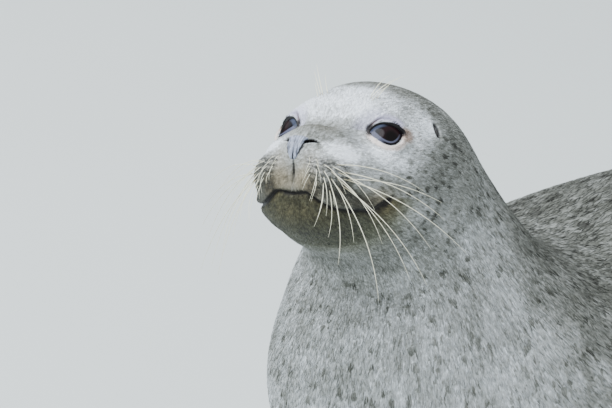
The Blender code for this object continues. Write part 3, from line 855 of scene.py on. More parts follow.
def head_values(p: Array, station_dark: Array) -> dict[str, Array]:
    """What the finish of skin and coat is worked out from, at straight points.

    Args:
        p: Straight points, array (n, 3).
        station_dark: How dark the coat is there before patches, 0 to 1.

    Returns:
        Named values: rest, the points in metres; tone, for dark, warm and spots; lids, for
        distance from an eye's opening, height over its long line and share along it; marks, for
        distance from the mouth line, height over it and the measure of the nearest slit; and
        pad, for whisker row, column and presence. Distances are in millimetres.
    """
    tone = np.zeros((len(p), 3))
    tone[:, 0] = station_dark
    tone[:, 2] = 0.35 + 0.4 * ramp(p[:, 1], 0.10, 0.22)
    for patch in HEAD_PATCHES:
        patch.add(p, tone)
    # Painted shade under the head: the jaw below the mouth line and the underside of the throat are
    # made darker, and the jaw loses part of its spots.
    jaw = ramp(MOUTH.above(p), 0.001, -0.002) * ramp(p[:, 1], MOUTH.back + 0.035, MOUTH.back - 0.008)
    throat_shade = ramp(p[:, 2], -0.020, -0.050) * ramp(p[:, 1], 0.23, 0.06)
    tone[:, 0] += (0.82 - tone[:, 0]) * np.maximum(jaw, 0.55 * throat_shade)
    tone[:, 2] *= 1 - 0.6 * jaw
    lids = pack(np.full(len(p), FAR_MM), 0.0, 0.0)
    for eye in EYES:
        near = eye.near(p)
        across, _, up = (v[near] for v in eye.local(p))
        gap, _ = eye.edge(across, up)
        share = eye.share(across)
        lids[near] = pack(gap / MM, (up - eye.line(share)) / MM, share)
    # The measure of nostrils, ear openings and the skin along the nose pad's sides, which the finish
    # paints black as shade in these openings and at the pad's edge.
    slit = np.minimum(NOSTRIL.either(p), EAR.either(p))
    window = ramp(p[:, 2], -0.0065, -0.0030) * ramp(p[:, 2], 0.0108, 0.0080)
    slit = np.minimum(slit, 0.85 + 5.0 * np.abs(NOSE.measure(p) - 1.06) + 9.0 * (1.0 - window))
    row, column = PAD.place(p)
    head = p[:, 1] < 0.2
    line, above = (np.where(head, v, 0.05) / MM for v in (MOUTH.line(p), MOUTH.above(p)))
    return {
        "rest": p,
        "tone": np.clip(tone, 0.0, 1.0),
        "lids": lids,
        "marks": pack(line, above, np.minimum(slit, FAR)),
        "pad": pack(row, column, PAD.inside(p)),
    }


# --- The skin


@dataclass
class SkinGrid:
    """Rings of the straight seal's skin, close together on the head.

    Rays fan over the muzzle from a point inside it and then stand square to the spine. They
    are closer at the height of eyes and ears. Behind the neck every second column ends.
    """

    around: int = 320
    cap_rings: int = 46
    muzzle: Triple = (0.0, 0.045, -0.010)
    halve_at: float = 0.24
    places: Row = (0.045, 0.060, 0.066, 0.104, 0.112, 0.135, 0.17, 0.24, 0.40, 1.20, 1.39)
    gaps: Row = (0.0011, 0.0010, 0.0008, 0.0008, 0.0011, 0.0011, 0.0019, 0.0042,
                               0.0082, 0.0082, 0.0050)
    eye_zone: tuple[float, float, float, float] = (20.0, 30.0, 70.0, 84.0)  # degrees from the top
    zone_gain: float = 0.65
    snap: float = 0.00040
    detail_end: float = 0.16  # the last station with detail of the head
    pad_sink: float = 0.0016  # the skin lies this far under the nose pad
    bridge: Triple = (0.014, 0.052, 0.016)  # half width, station and half length of its hollow
    bridge_sink: float = 0.0030
    dot_rise: float = 0.00022  # of the bumps that whiskers stand on

    def angles(self) -> Array:
        """Angles of the columns from the top, turning left, denser beside the eyes."""
        fine = np.linspace(-math.pi, math.pi, 7201)
        low, full, end, high = (math.radians(v) for v in self.eye_zone)
        side = np.abs(fine)
        density = 1.0 + self.zone_gain * ramp(side, low, full) * ramp(side, high, end)
        total = chain([0.0], np.cumsum((density[1:] + density[:-1]) / 2))
        return np.interp(np.arange(self.around) / self.around * total[-1], total, fine)

    def cap(self, phi: Array) -> Array:
        """Straight points of the rings fanned over the muzzle."""
        polar = np.linspace(0.0, math.pi / 2, self.cap_rings + 1)[1:, None]
        rays = pack(np.sin(polar) * np.sin(phi), -np.cos(polar), np.sin(polar) * np.cos(phi))
        return FORM.meet(self.muzzle, rays)

    def rings(self, stations: Array, phi: Array) -> Array:
        """Straight points of rings square to the spine, flattened where they meet the floor.

        Args:
            stations: Stations of the rings.
            phi: Angles of the columns from the top.

        Returns:
            Points, array (ring, column, 3).
        """
        s, turn = np.meshgrid(stations, phi, indexing="ij")
        start = pack(0.0, s, self.muzzle[2])
        rays = pack(np.sin(turn), 0.0, np.cos(turn))
        length = FORM.reach(start, rays)
        base = SPINE.pose(start)
        fall = SPINE.pose(start + rays)[..., 2] - base[..., 2]
        room = (FLOOR_CLEAR - base[..., 2]) / np.minimum(fall, -1e-9)
        length = np.where(fall < 0, np.minimum(length, room), length)
        return start + rays * length[..., None]

    def detail(self, p: Array) -> Array:
        """Head points with mouth, cleft, lids, ear and nostrils worked into them.

        Args:
            p: Straight points of the head, array (n, 3).

        Returns:
            The moved points.
        """
        normal = FORM.normal(p)
        move = MOUTH.groove(p) - self.pad_sink * ramp(NOSE.measure(p), 1.05, 0.80)
        bridge = bell(p[..., 0], self.bridge[0]) * bell(p[..., 1] - self.bridge[1], self.bridge[2])
        move = move - self.bridge_sink * bridge * ramp(p[..., 2], 0.004, 0.014)
        row, column = PAD.place(p)
        dots = np.cos(2 * math.pi * row) + np.cos(2 * math.pi * column)
        move += self.dot_rise * dots * PAD.inside(p)
        p = p + normal * move[:, None]
        for side in (1, -1):
            for hole in (NOSTRIL, EAR):
                p = hole.sink(p, side)
        for eye in EYES:
            near = eye.near(p)
            p[near] = eye.lids(p[near], self.snap)
        return p

    def build(self) -> Surface:
        """The body's closed skin, posed, with its named values.

        Returns:
            Points in place; rest and the other values from the straight seal; lie, the
            direction from nose to tail along the skin; hair, the length of the coat.
        """
        phi = self.angles()
        stations = even_steps(self.muzzle[1], FORM.tail_tip - 0.004, self.places, self.gaps)[1:]
        front = stations[stations < self.halve_at]
        back = stations[stations >= self.halve_at]
        cap, neck = self.cap(phi), self.rings(front, phi)
        head = chain(cap, neck)
        flat = head.reshape(-1, 3)
        detailed = flat[:, 1] < self.detail_end
        worked = flat.copy()
        worked[detailed] = self.detail(flat[detailed])
        trunk = self.rings(back, phi[::2])
        tip = FORM.meet([self.muzzle], [(0.0, -1.0, 0.0)])
        tail = np.array([[0.0, FORM.tail_tip, self.muzzle[2] + 0.004]])
        rest = chain(worked, trunk.reshape(-1, 3), tip, tail)
        plain = chain(flat, trunk.reshape(-1, 3), tip, tail)
        points = SPINE.pose(rest)
        points[:, 2] = np.maximum(points[:, 2], FLOOR_CLEAR)
        rows = len(head)
        lie = self.lie(points[:rows * self.around].reshape(rows, self.around, 3),
                       points[rows * self.around:-2].reshape(len(trunk), -1, 3))
        surface = Surface(points, self.faces(rows, len(trunk)), head_values(plain, self.dark(plain)))
        surface.values["lie"] = lie
        surface.values["hair"] = self.hair(plain)
        surface.values["part"] = np.zeros((len(points), 3))
        return surface

    def lie(self, head: Array, trunk: Array) -> Array:
        """Unit directions along the columns from nose to tail, at every point."""
        ways = [np.gradient(block, axis=0).reshape(-1, 3) for block in (head, trunk)]
        poles = np.array([[0.0, 0.0, -1.0], [0.0, 1.0, 0.0]])
        return unit(chain(*ways, poles))

    def faces(self, head: int, trunk: int) -> list[Array]:
        """Quads of both blocks, triangles where columns end, and the two fans.

        Args:
            head: Rings with all the columns.
            trunk: Rings behind them with every second column.

        Returns:
            Arrays of faces with four and with three corners.
        """
        n, m = self.around, self.around // 2
        first = head * n
        total = first + trunk * m
        k = np.arange(m)
        a, b, c = (head - 1) * n + 2 * k, (head - 1) * n + 2 * k + 1, (head - 1) * n + (2 * k + 2) % n
        d, e = first + k, first + (k + 1) % m
        j, i = np.arange(n), (np.arange(n) + 1) % n
        last = total - m
        joins = [np.stack(t, -1) for t in ((a, b, d), (b, e, d), (b, c, e))]
        nose = pack(i, j, total)
        tail = pack(last + k, last + (k + 1) % m, total + 1)
        return [strip_faces(head, n), strip_faces(trunk, m, first), chain(*joins, nose, tail)]

    def dark(self, p: Array) -> Array:
        """How dark the coat is before patches: dark back, pale flanks and belly."""
        lean = p[:, 2] / np.maximum(np.hypot(p[:, 0], p[:, 2]), 1e-6)
        back = 0.30 + 0.42 * ramp(lean, -0.35, 0.85)
        return 0.36 + (back - 0.36) * ramp(p[:, 1], 0.12, 0.30)

    def hair(self, p: Array) -> Array:
        """Length of the fur, short on the face and longest on the trunk."""
        return table_curve(p[:, 1], (0.0, 0.05, 0.09, 0.13, 0.20, 0.30, 0.45, 1.20, 1.39),
                           (0.0021, 0.0024, 0.0029, 0.0037, 0.0048, 0.0064, 0.0080, 0.0084, 0.0056))


@dataclass(frozen=True)
class Fin:
    """A left fin: a bent plate with five rayed digits."""

    name: str
    line: tuple[Triple, Triple, Triple]
    tilt: float
    half_width: Row
    half_thick: Row
    reach: Row
    web: float
    claw: Pair
    rays: float
    digits: Row = (-0.86, -0.43, 0.0, 0.43, 0.86)
    rest_share: float = 0.40
    rest_blend: float = 0.005

    def axes(self, u: Array) -> tuple[Array, Array, Array, Array]:
        """Middle, along, across and out at shares u of the line, a quadratic Bezier curve."""
        p0, p1, p2 = (np.array(p) for p in self.line)
        u = u[..., None]
        middle = (1 - u) ** 2 * p0 + 2 * u * (1 - u) * p1 + u**2 * p2
        along = unit(2 * (1 - u) * (p1 - p0) + 2 * u * (p2 - p1))
        level = unit(pack(-along[..., 1], along[..., 0], 0.0))
        out = np.cross(along, level)
        across = level * math.cos(self.tilt) + out * math.sin(self.tilt)
        return middle, along, across, np.cross(along, across)

    def wave(self, v: Array) -> Array:
        """1 on the line of each digit and 0 midway between two: a raised cosine."""
        step = self.digits[1] - self.digits[0]
        return np.clip(0.5 + 0.5 * np.cos(2 * math.pi * (v - self.digits[0]) / step), 0.0, 1.0)

    def point(self, u: Array, v: Array, face: float, inset: float = 0.0) -> Array:
        """Points of the fin's surface.

        Args:
            u: Shares along it, 0 to 1.
            v: Shares across it from the leading edge, -1 to 1.
            face: 1 for the top, -1 for the sole.
            inset: How far inside the solid's surface.

        Returns:
            Points in place, left side.
        """
        stops = tuple(np.linspace(0.0, 1.0, 5))
        reach = table_curve(v, self.digits, self.reach) - self.web * (1 - self.wave(v))
        reach = 1 + (reach - 1) * ramp(u, 0.25, 1.0)
        middle, _, across, out = self.axes(u * reach)
        wide = table_curve(u, stops, self.half_width) - inset
        thick = table_curve(u, stops, self.half_thick)
        middle[..., 2] = -blend(-middle[..., 2], -self.rest_share * thick, self.rest_blend)
        edge = np.maximum(1 - np.abs(v) ** 2.6, 0.0) ** (1 / 2.6)
        ridge = 1 + self.rays * ramp(u, 0.2, 0.6) * (self.wave(v) - 0.6)
        end = np.sqrt(np.maximum(1 - ramp(u, 0.90, 1.0) ** 2, 0.0))
        height = np.maximum(thick * ridge - inset, 0.0004) * edge * end
        plate = middle + across * (v * wide)[..., None]
        lowest = FLOOR_CLEAR + self.rest_share * height * np.abs(out[..., 2])
        plate[..., 2] = -blend(-plate[..., 2], -lowest, 0.002)
        return plate + out * (face * height)[..., None]

    def surface(self, side: int, number: int, rows: int = 46, columns: int = 30) -> Surface:
        """The fin's closed skin with the same named values as the body's.

        Args:
            side: 1 for left, -1 for right.
            number: The fin's number, kept in the values of its points.
            rows: Rings along it.
            columns: Points across its top.

        Returns:
            The surface, pointing out.
        """
        u = np.linspace(0.0, 1.0, rows) ** 0.92
        v = -np.cos(np.linspace(0.0, math.pi, columns))
        v = 0.45 * v + 0.55 * np.linspace(-1.0, 1.0, columns)
        top = self.point(*np.meshgrid(u, v, indexing="ij"), 1.0, 0.0005)
        sole = self.point(*np.meshgrid(u, v[-2:0:-1], indexing="ij"), -1.0, 0.0005)
        rings = np.concatenate([top, sole], 1)
        rings[..., 0] = np.maximum(rings[..., 0], 0.003)
        rings = mirrored(rings, side)
        rings[..., 2] = np.maximum(rings[..., 2], FLOOR_CLEAR)
        around = rings.shape[1]
        points = chain(rings.reshape(-1, 3), rings[:1].mean(1))
        j = np.arange(around)
        fan = pack(j, (j + 1) % around, len(points) - 1)
        quads = strip_faces(rows, around)
        if side > 0:
            quads = quads[:, ::-1]
        else:
            fan = fan[:, ::-1]
        root = mirrored(self.line[0], side)
        share = chain(np.repeat(u, around), [0.0])
        across = chain(np.tile(chain(v, v[-2:0:-1] + 2.0), rows), [0.0])
        lie = unit(chain(np.gradient(rings, axis=0).reshape(-1, 3), [[0.0, 1.0, 0.0]]))
        far = np.full(len(points), FAR_MM)
        values = {
            "rest": SPINE.straighten(points, root),
            "tone": pack(0.42 + 0.30 * ramp(share, 0.4, 1.0), 0.0, 0.5),
            "lids": pack(far, 0.0, 0.0), "marks": pack(far, far, far), "pad": np.zeros((len(far), 3)),
            "lie": lie, "hair": 0.0060 - 0.0030 * share, "part": pack(float(number), share, across),
        }
        return Surface(points, [quads, fan], values)


FORE = Fin("fore", ((0.115, -0.270, 0.105), (0.212, -0.290, 0.033), (0.245, -0.165, -0.006)),
           0.0, (0.040, 0.038, 0.042, 0.047, 0.047), (0.026, 0.020, 0.0115, 0.0070, 0.0034),
           (1.00, 0.985, 0.95, 0.90, 0.83), 0.035, (0.021, 0.0024), 0.30)
HIND = Fin("hind", ((0.040, 0.455, 0.076), (0.068, 0.570, 0.053), (0.098, 0.705, 0.044)),
           math.radians(48.0), (0.036, 0.042, 0.052, 0.064, 0.074),
           (0.030, 0.019, 0.0105, 0.0065, 0.0030), (1.00, 0.95, 0.91, 0.94, 0.98), 0.040,
           (0.012, 0.0018), 0.32)
FLESH = ("head", "lower_jaw", "neck", "chest", "belly", "hips", "rump", "tail",
         "fore_flipper_left", "fore_flipper_right", "hind_flipper_left", "hind_flipper_right")


@dataclass
class Skin:
    """One skin over the body and its four fins, joined and smoothed at the fins' roots."""

    grid: SkinGrid = field(default_factory=SkinGrid)
    smooth_rings: int = 6
    smooth_steps: int = 30
    obj: Object | None = None

    def build(self) -> Object:
        """Join body and fins, smooth the roots and make the skin's object."""
        body = self.grid.build()
        places = ((FORE, 1), (FORE, -1), (HIND, 1), (HIND, -1))
        fins = reduce(Surface.joined, [fin.surface(side, n) for n, (fin, side) in enumerate(places, 1)])
        trunk = Surface(body.points, body.faces).make("seal_skin")
        limbs = Surface(fins.points, fins.faces).make("limbs")
        self.close(limbs)
        join = trunk.modifiers.new("limbs", "BOOLEAN")
        join.operation, join.solver, join.object = "UNION", "EXACT", limbs
        bpy.context.view_layer.update()
        whole = trunk.evaluated_get(bpy.context.evaluated_depsgraph_get())
        mesh = bpy.data.meshes.new_from_object(whole)
        bpy.data.objects.remove(limbs, do_unlink=True)
        trunk.modifiers.clear()
        trunk.data = mesh
        mesh.name = "seal_skin"
        self.obj = trunk
        self.mend(body.joined(fins))
        return trunk

    def close(self, obj: Object) -> None:
        """Merge the points that meet at the fins' thin ends."""
        bm = bmesh.new()
        bm.from_mesh(obj.data)
        bmesh.ops.remove_doubles(bm, verts=bm.verts, dist=1e-6)
        bmesh.ops.dissolve_degenerate(bm, edges=bm.edges, dist=1e-7)
        bm.to_mesh(obj.data)
        bm.free()

    def mend(self, source: Surface) -> None:
        """Give the skin its named values back and smooth it round the roots.

        Args:
            source: Body and fins before they were joined. A point that the joining made has
                none of its own values, and takes the mean of its neighbours'.
        """
        mesh = self.obj.data
        points = read(mesh.vertices, "co", 3)
        found = same_points(points, source.points)
        a, b = read(mesh.edges, "vertices", 2, int).T
        fresh = found < 0
        for name, value in source.values.items():
            value, ready = value[found], ~fresh
            value[fresh] = 0.0
            for _ in range(4):
                value, ready = self.spread(value, ready, a, b)
            write_values(mesh, name, value)
        reach = np.where(fresh, 0.0, 99.0)
        for _ in range(self.smooth_rings):
            np.minimum.at(reach, a, reach[b] + 1)
            np.minimum.at(reach, b, reach[a] + 1)
        weight = np.clip(1 - reach / (self.smooth_rings + 1), 0.0, 1.0)[:, None] * 0.7
        count = np.bincount(chain(a, b), minlength=len(points))[:, None]
        for _ in range(self.smooth_steps):
            total = np.stack([np.bincount(a, points[b, i], len(points))
                              + np.bincount(b, points[a, i], len(points)) for i in range(3)], -1)
            points += weight * (total / np.maximum(count, 1) - points)
        points[:, 2] = np.maximum(points[:, 2], FLOOR_CLEAR)
        mesh.vertices.foreach_set("co", points.astype(np.float32).ravel())
        mesh.update()
        mesh.shade_smooth()

    def spread(self, value: Array, ready: Array, a: Array, b: Array) -> tuple[Array, Array]:
        """Fill points that aren't ready with the mean of their ready neighbours.

        Args:
            value: A named value of all points.
            ready: Whether each point has its value.
            a: First points of the edges.
            b: Second points of the edges.

        Returns:
            The value and which points are ready now.
        """
        wide = value.reshape(len(value), -1)
        total, count = np.zeros_like(wide), np.zeros(len(value))
        for here, there in ((a, b), (b, a)):
            use = ~ready[here] & ready[there]
            np.add.at(total, here[use], wide[there[use]])
            np.add.at(count, here[use], 1.0)
        fill = (count > 0) & ~ready
        wide[fill] = total[fill] / count[fill, None]
        return wide.reshape(value.shape), ready | fill


def read(data: bpy.types.bpy_prop_collection, key: str, width: int = 1, kind: type = float) -> Array:
    """A property of a mesh's points, edges, triangles or named values, (n,) or (n, width)."""
    out = np.empty(len(data) * width, np.int32 if kind is int else np.float32)
    data.foreach_get(key, out)
    return (out if width == 1 else out.reshape(-1, width)).astype(kind)


def write_values(mesh: Mesh, name: str, value: Array) -> None:
    """Put an array into a new named value of a mesh's points."""
    kind, prop = ("FLOAT", "value") if value.ndim == 1 else ("FLOAT_VECTOR", "vector")
    mesh.attributes.new(name, kind, "POINT").data.foreach_set(prop, value.astype(np.float32).ravel())


def same_points(points: Array, among: Array) -> Array:
    """Number of the first point among others that each point equals to a micron, or -1."""
    both = np.round(chain(among, points).astype(np.float32) / 1e-6).astype(np.int64)
    _, group = np.unique(both, axis=0, return_inverse=True)
    first = np.full(group.max() + 1, -1)
    first[group[:len(among)][::-1]] = np.arange(len(among))[::-1]
    return first[group[len(among):]]


# --- The coat


@dataclass(frozen=True)
class CoatArea:
    """A part of the body covered by one piece of coat."""

    name: str
    count: int  # of tufts
    start: float  # stations along the spine
    end: float
    fins: bool = False  # the four flippers, wherever they are
    jaw: bool = False  # below the line of the mouth


COAT_AREAS = (
    CoatArea("coat_face", 19500, 0.0, 0.084),
    CoatArea("coat_crown", 19500, 0.084, 0.150),
    CoatArea("coat_chin", 9000, 0.0, 0.120, jaw=True),
    CoatArea("coat_neck", 19000, 0.150, 0.300),
    CoatArea("coat_chest", 18500, 0.300, 0.520),
    CoatArea("coat_belly", 17500, 0.520, 0.780),
    CoatArea("coat_hips", 13500, 0.780, 1.060),
    CoatArea("coat_tail", 7500, 1.060, 1.400),
    CoatArea("coat_flippers", 16000, 0.0, 2.0, fins=True),
)


@dataclass
class Coat:
    """Thin tufts that lie from nose to tail over the skin and overlap."""

    skin: Object
    slim: float = 0.135  # width as a share of length
    height: float = 0.32  # thickness as a share of width
    lift: Pair = (0.22, 0.42)  # of middle and tip, as shares of the coat's depth
    stray: float = math.radians(9.0)
    root: float = 0.00025  # how far the root is sunk
    patch: float = 0.0015  # half of a tuft's patch on the map
    bare: tuple[float, float, float, float] = (1.6, 1.2, 1.3, 1.04)  # lids, lips, slits and nose
    clear_slit: float = 1.25  # tips stay this measure from nostrils and ears
    clear_lid: float = 0.0012  # and this distance from the eyes
    length_spread: Pair = (0.7, 1.25)
    width_spread: Pair = (0.75, 1.25)
    rise_spread: Pair = (0.5, 1.1)
    seed: int = 7
    triangles: Array = field(init=False)
    values: dict[str, Array] = field(init=False)

    def __post_init__(self) -> None:
        """Read the skin's points, triangles, normals and named values."""
        mesh = self.skin.data
        mesh.calc_loop_triangles()
        self.triangles = read(mesh.loop_triangles, "vertices", 3, int)
        self.values = {name: read(mesh.attributes[name].data, "vector", 3)
                       for name in (*MARKINGS, "lie", "part")}
        self.values["hair"] = read(mesh.attributes["hair"].data, "value")
        self.values["normal"] = read(mesh.vertices, "normal", 3)
        self.values["point"] = read(mesh.vertices, "co", 3)

    def weights(self, area: CoatArea) -> Array:
        """How many of an area's tufts each triangle gets: its size over hair length to the 1.5.

        Args:
            area: The part of the body.

        Returns:
            One weight a triangle, 0 outside the area and where the skin is bare.
        """
        a, b, c = (self.values["point"][self.triangles[:, i]] for i in range(3))
        size = np.linalg.norm(np.cross(b - a, c - a), axis=1) / 2
        middle = {k: v[self.triangles].mean(1) for k, v in self.values.items()}
        s, fin = middle["rest"][:, 1], middle["part"][:, 0] > 0.5
        jaw = (middle["marks"][:, 1] < 0) & (s < 0.120) & (middle["rest"][:, 2] < -0.01)
        margins = (middle["lids"][:, 0], middle["marks"][:, 0], middle["marks"][:, 2],
                   NOSE.measure(middle["rest"]))
        bare = (np.stack(margins) < np.array(self.bare)[:, None]).any(0)
        tip = middle["rest"] + middle["lie"] @ SPINE.axes(0.05).T * middle["hair"][:, None]
        tip[s > 0.2] = FAR
        bare |= np.minimum(NOSTRIL.either(tip), EAR.either(tip)) < self.clear_slit
        for eye in EYES:
            near = np.flatnonzero(eye.near(tip))
            across, _, up = eye.local(tip[near])
            bare[near[eye.edge(across, up)[0] < self.clear_lid]] = True
        inside = fin if area.fins else ~fin & (s >= area.start) & (s < area.end) & (jaw == area.jaw)
        return np.where(inside & ~bare, size / middle["hair"] ** 1.5, 0.0)

    def unwrap(self, area: CoatArea, rest: Array, part: Array) -> Array:
        """Places of roots on the coat's map: turn round the spine against station.

        Args:
            area: The part of the body.
            rest: Straight points of the roots.
            part: Fin number, share along it and share across it.

        Returns:
            Map places, 0 to 1. Fins lie side by side, each with its sole beyond its top.
        """
        if area.fins:
            number = (rest[:, 0] < 0) + 2.0 * (rest[:, 1] > 0.9)
            across = (part[:, 2] + 1) / 4
            return pack((number + 0.04 + 0.92 * across) / 4, 0.02 + 0.96 * part[:, 1])
        up = rest[:, 2] + 0.010
        turn = np.arctan2(rest[:, 0], -up if area.jaw else up)
        polar = np.arctan2(np.hypot(rest[:, 0], up), 0.045 - rest[:, 1])
        run = np.where(rest[:, 1] < 0.045, 0.0707 * polar / (math.pi / 2) - 0.0257, rest[:, 1])
        low = -0.0257 if area.start == 0.0 else area.start
        return 0.01 + 0.98 * pack(turn / (2 * math.pi) + 0.5, (run - low) / (area.end - low))

    def build(self, area: CoatArea) -> Object:
        """One area's tufts, each of a root ring, a middle ring and a tip.

        Args:
            area: The part of the body.

        Returns:
            The joined tufts as one object with named values and a map.
        """
        rng = np.random.default_rng([self.seed, COAT_AREAS.index(area)])
        total = np.cumsum(self.weights(area))
        n = area.count
        pick = np.searchsorted(total, (np.arange(n) + rng.random(n)) / n * total[-1])
        corner = self.triangles[np.minimum(pick, len(total) - 1)]
        root, turn = np.sqrt(rng.random(n)), rng.random(n)
        share = pack(1 - root, root * (1 - turn), root * turn)
        at = {k: np.einsum("nc,nc...->n...", share, v[corner]) for k, v in self.values.items()}
        out = unit(at["normal"])
        way = unit(at["lie"] - out * (at["lie"] * out).sum(-1, keepdims=True))
        side = np.cross(out, way)
        stray = rng.normal(0.0, self.stray, n)[:, None]
        way, side = (way * np.cos(stray) + side * np.sin(stray),
                     side * np.cos(stray) - way * np.sin(stray))
        length = at["hair"] * rng.uniform(*self.length_spread, n)
        depth = np.interp(at["rest"][:, 1], FORM.depth_s, FORM.depth)
        wide = length * self.slim * rng.uniform(*self.width_spread, n) / 2
        rise = depth * rng.uniform(*self.rise_spread, n)
        rings = []
        for along, up, size in ((-0.04, -self.root, 0.9), (0.48, self.lift[0] * rise, 1.0)):
            centre = (at["point"] + way * (along * length)[:, None]
                      + out * (up + np.zeros(n))[:, None])
            half = side * (wide * size)[:, None]
            rings += [centre - half, centre + half,
                      centre + out * (wide * size * 2 * self.height)[:, None]]
        tip = at["point"] + way * length[:, None] + out * (self.lift[1] * rise)[:, None]
        points = np.stack([*rings, tip], 1)
        points[..., 2] = np.maximum(points[..., 2], FLOOR_CLEAR / 2)
        return self.mesh(area, points, at, rng.uniform(-1.0, 1.0, n))

    def mesh(self, area: CoatArea, points: Array, at: dict[str, Array], shade: Array) -> Object:
        """Faces, values and map of tufts whose points are known.

        Args:
            area: The part of the body.
            points: Array (tuft, 7, 3): three points at the root, three in the middle and the tip.
            at: The skin's named values at the roots.
            shade: One random number a tuft, -1 to 1.

        Returns:
            The tufts as one object.
        """
        faces = [(0, 2, 1)]
        for i in range(3):
            j = (i + 1) % 3
            faces += [(i, j, 3 + j), (i, 3 + j, 3 + i), (3 + i, 3 + j, 6)]
        faces = np.array(faces)
        n = len(points)
        corners = (faces[None] + 7 * np.arange(n)[:, None, None]).reshape(-1, 3)
        values = {k: np.repeat(at[k], 7, axis=0) for k in MARKINGS}
        values["shade"] = np.repeat(shade, 7)
        values["tip"] = np.tile(np.array((0.0, 0.0, 0.0, 0.45, 0.45, 0.45, 1.0)), n)
        obj = Surface(points.reshape(-1, 3), [corners], values).make(area.name)
        spots = self.patch * np.array(
            ((-1, -1), (1, -1), (0, -0.8), (-1, 0), (1, 0), (0, 0.2), (0, 1)))
        places = self.unwrap(area, at["rest"], at["part"])[:, None] + spots
        layer = obj.data.uv_layers.new(name="OFBake")
        layer.data.foreach_set("uv", places[:, faces.ravel()].astype(np.float32).ravel())
        return obj


# --- Eyes, nose, whiskers and claws


@dataclass
class Eyeball:
    """A wet ball behind the lids, finest where it looks."""

    eye: Eye
    radius: float = 0.0185
    outward: float = math.radians(11.0)  # that the iris is turned from the ball's forward axis
    rings: int = 72
    around: int = 96

    def build(self) -> Object:
        """The ball as rings about its forward axis.

        Returns:
            The ball, with gaze, the angle from the way it looks; look, the direction from its
            middle; and edge, for distance from the opening, side of its long line and share.
        """
        across, forward, up = self.eye.axes()
        polar = math.pi * np.linspace(0.0, 1.0, self.rings + 2)[1:-1] ** 1.25
        turn = np.linspace(0.0, 2 * math.pi, self.around, endpoint=False)
        a, t = np.meshgrid(polar, turn, indexing="ij")
        across = across * self.eye.side
        rays = (np.cos(a)[..., None] * forward + (np.sin(a) * np.sin(t))[..., None] * across
                + (np.sin(a) * np.cos(t))[..., None] * up)
        middle = self.eye.middle()
        ball = tubes((middle + self.radius * rays)[None], (middle + self.radius * forward)[None],
                     (middle - self.radius * forward)[None])
        spots = unit(ball.points - middle)
        look = forward * math.cos(self.outward) + across * (self.eye.side * math.sin(self.outward))
        ball.values["gaze"] = np.arccos(np.clip(spots @ look, -1, 1))
        ball.values["look"] = pack(spots @ across * self.eye.side, spots @ forward, spots @ up)
        places = self.eye.local(ball.points)
        gap, nearest = self.eye.edge(places[0], places[2])
        under = nearest[:, 1] < self.eye.line(self.eye.share(nearest[:, 0]))
        ball.values["edge"] = pack(np.where(places[1] > 0, gap / MM, FAR), under * 1.0,
                                   self.eye.share(places[0]))
        ball.points = SPINE.pose(ball.points)
        return ball.make(f"eyeball_{SIDES[self.eye.side]}")


@dataclass
class NosePad:
    """The bare moist pad round the nostrils, domed over the snout."""

    rings: int = 64
    around: int = 176
    proud: float = 0.0002
    edge: float = 0.0016

    def build(self) -> Object:
        """The pad as rings round its middle, reached along rays from inside the snout.

        Returns:
            The pad, with rest, the straight points; slit and rim, the measures of the nostrils
            and of its outline.
        """
        share = np.linspace(0.0, 1.0, self.rings + 1)[1:]
        turn = np.linspace(-math.pi, math.pi, self.around, endpoint=False)
        k, a = np.meshgrid(share * 1.06, turn, indexing="ij")
        reach = k * NOSE.reach(a)
        front = self.raised(reach * np.sin(a), NOSE.middle + reach * np.cos(a), k)
        for side in (1, -1):
            front = NOSTRIL.sink(front, side)
        back = front[-1:] * (0.8, 1.0, 0.8) + (0.0, 0.0035, 0.0)
        start = self.raised(np.zeros((1, 1)), np.full((1, 1), NOSE.middle), np.zeros((1, 1)))[0]
        end = back.mean(1) + (0.0, 0.001, 0.0)
        pad = tubes(chain(front, back)[None], start, end)
        pad.values["rest"] = pad.points
        pad.values["slit"] = np.minimum(NOSTRIL.either(pad.points), FAR)
        pad.values["rim"] = np.minimum(NOSE.measure(pad.points), 2.0)
        pad.points = SPINE.pose(pad.points)
        return pad.make("nose_pad")

    def raised(self, x: Array, z: Array, share: Array) -> Array:
        """Points over the snout: rounded down at the rim, grooved down the middle."""
        skin = FORM.meet(pack(x, 0.036, z), (0.0, -1.0, 0.0), 0.06)
        groove = 0.0010 * bell(x, 0.0008) * ramp(z, 0.006, -0.002)
        wings = 0.0005 * bell(np.abs(x) - 0.0040, 0.002) * bell(z - 0.004, 0.006)
        up = self.proud + 0.0007 - self.edge * ramp(share, 0.86, 1.06) - groove + wings
        return skin + FORM.normal(skin) * up[..., None]


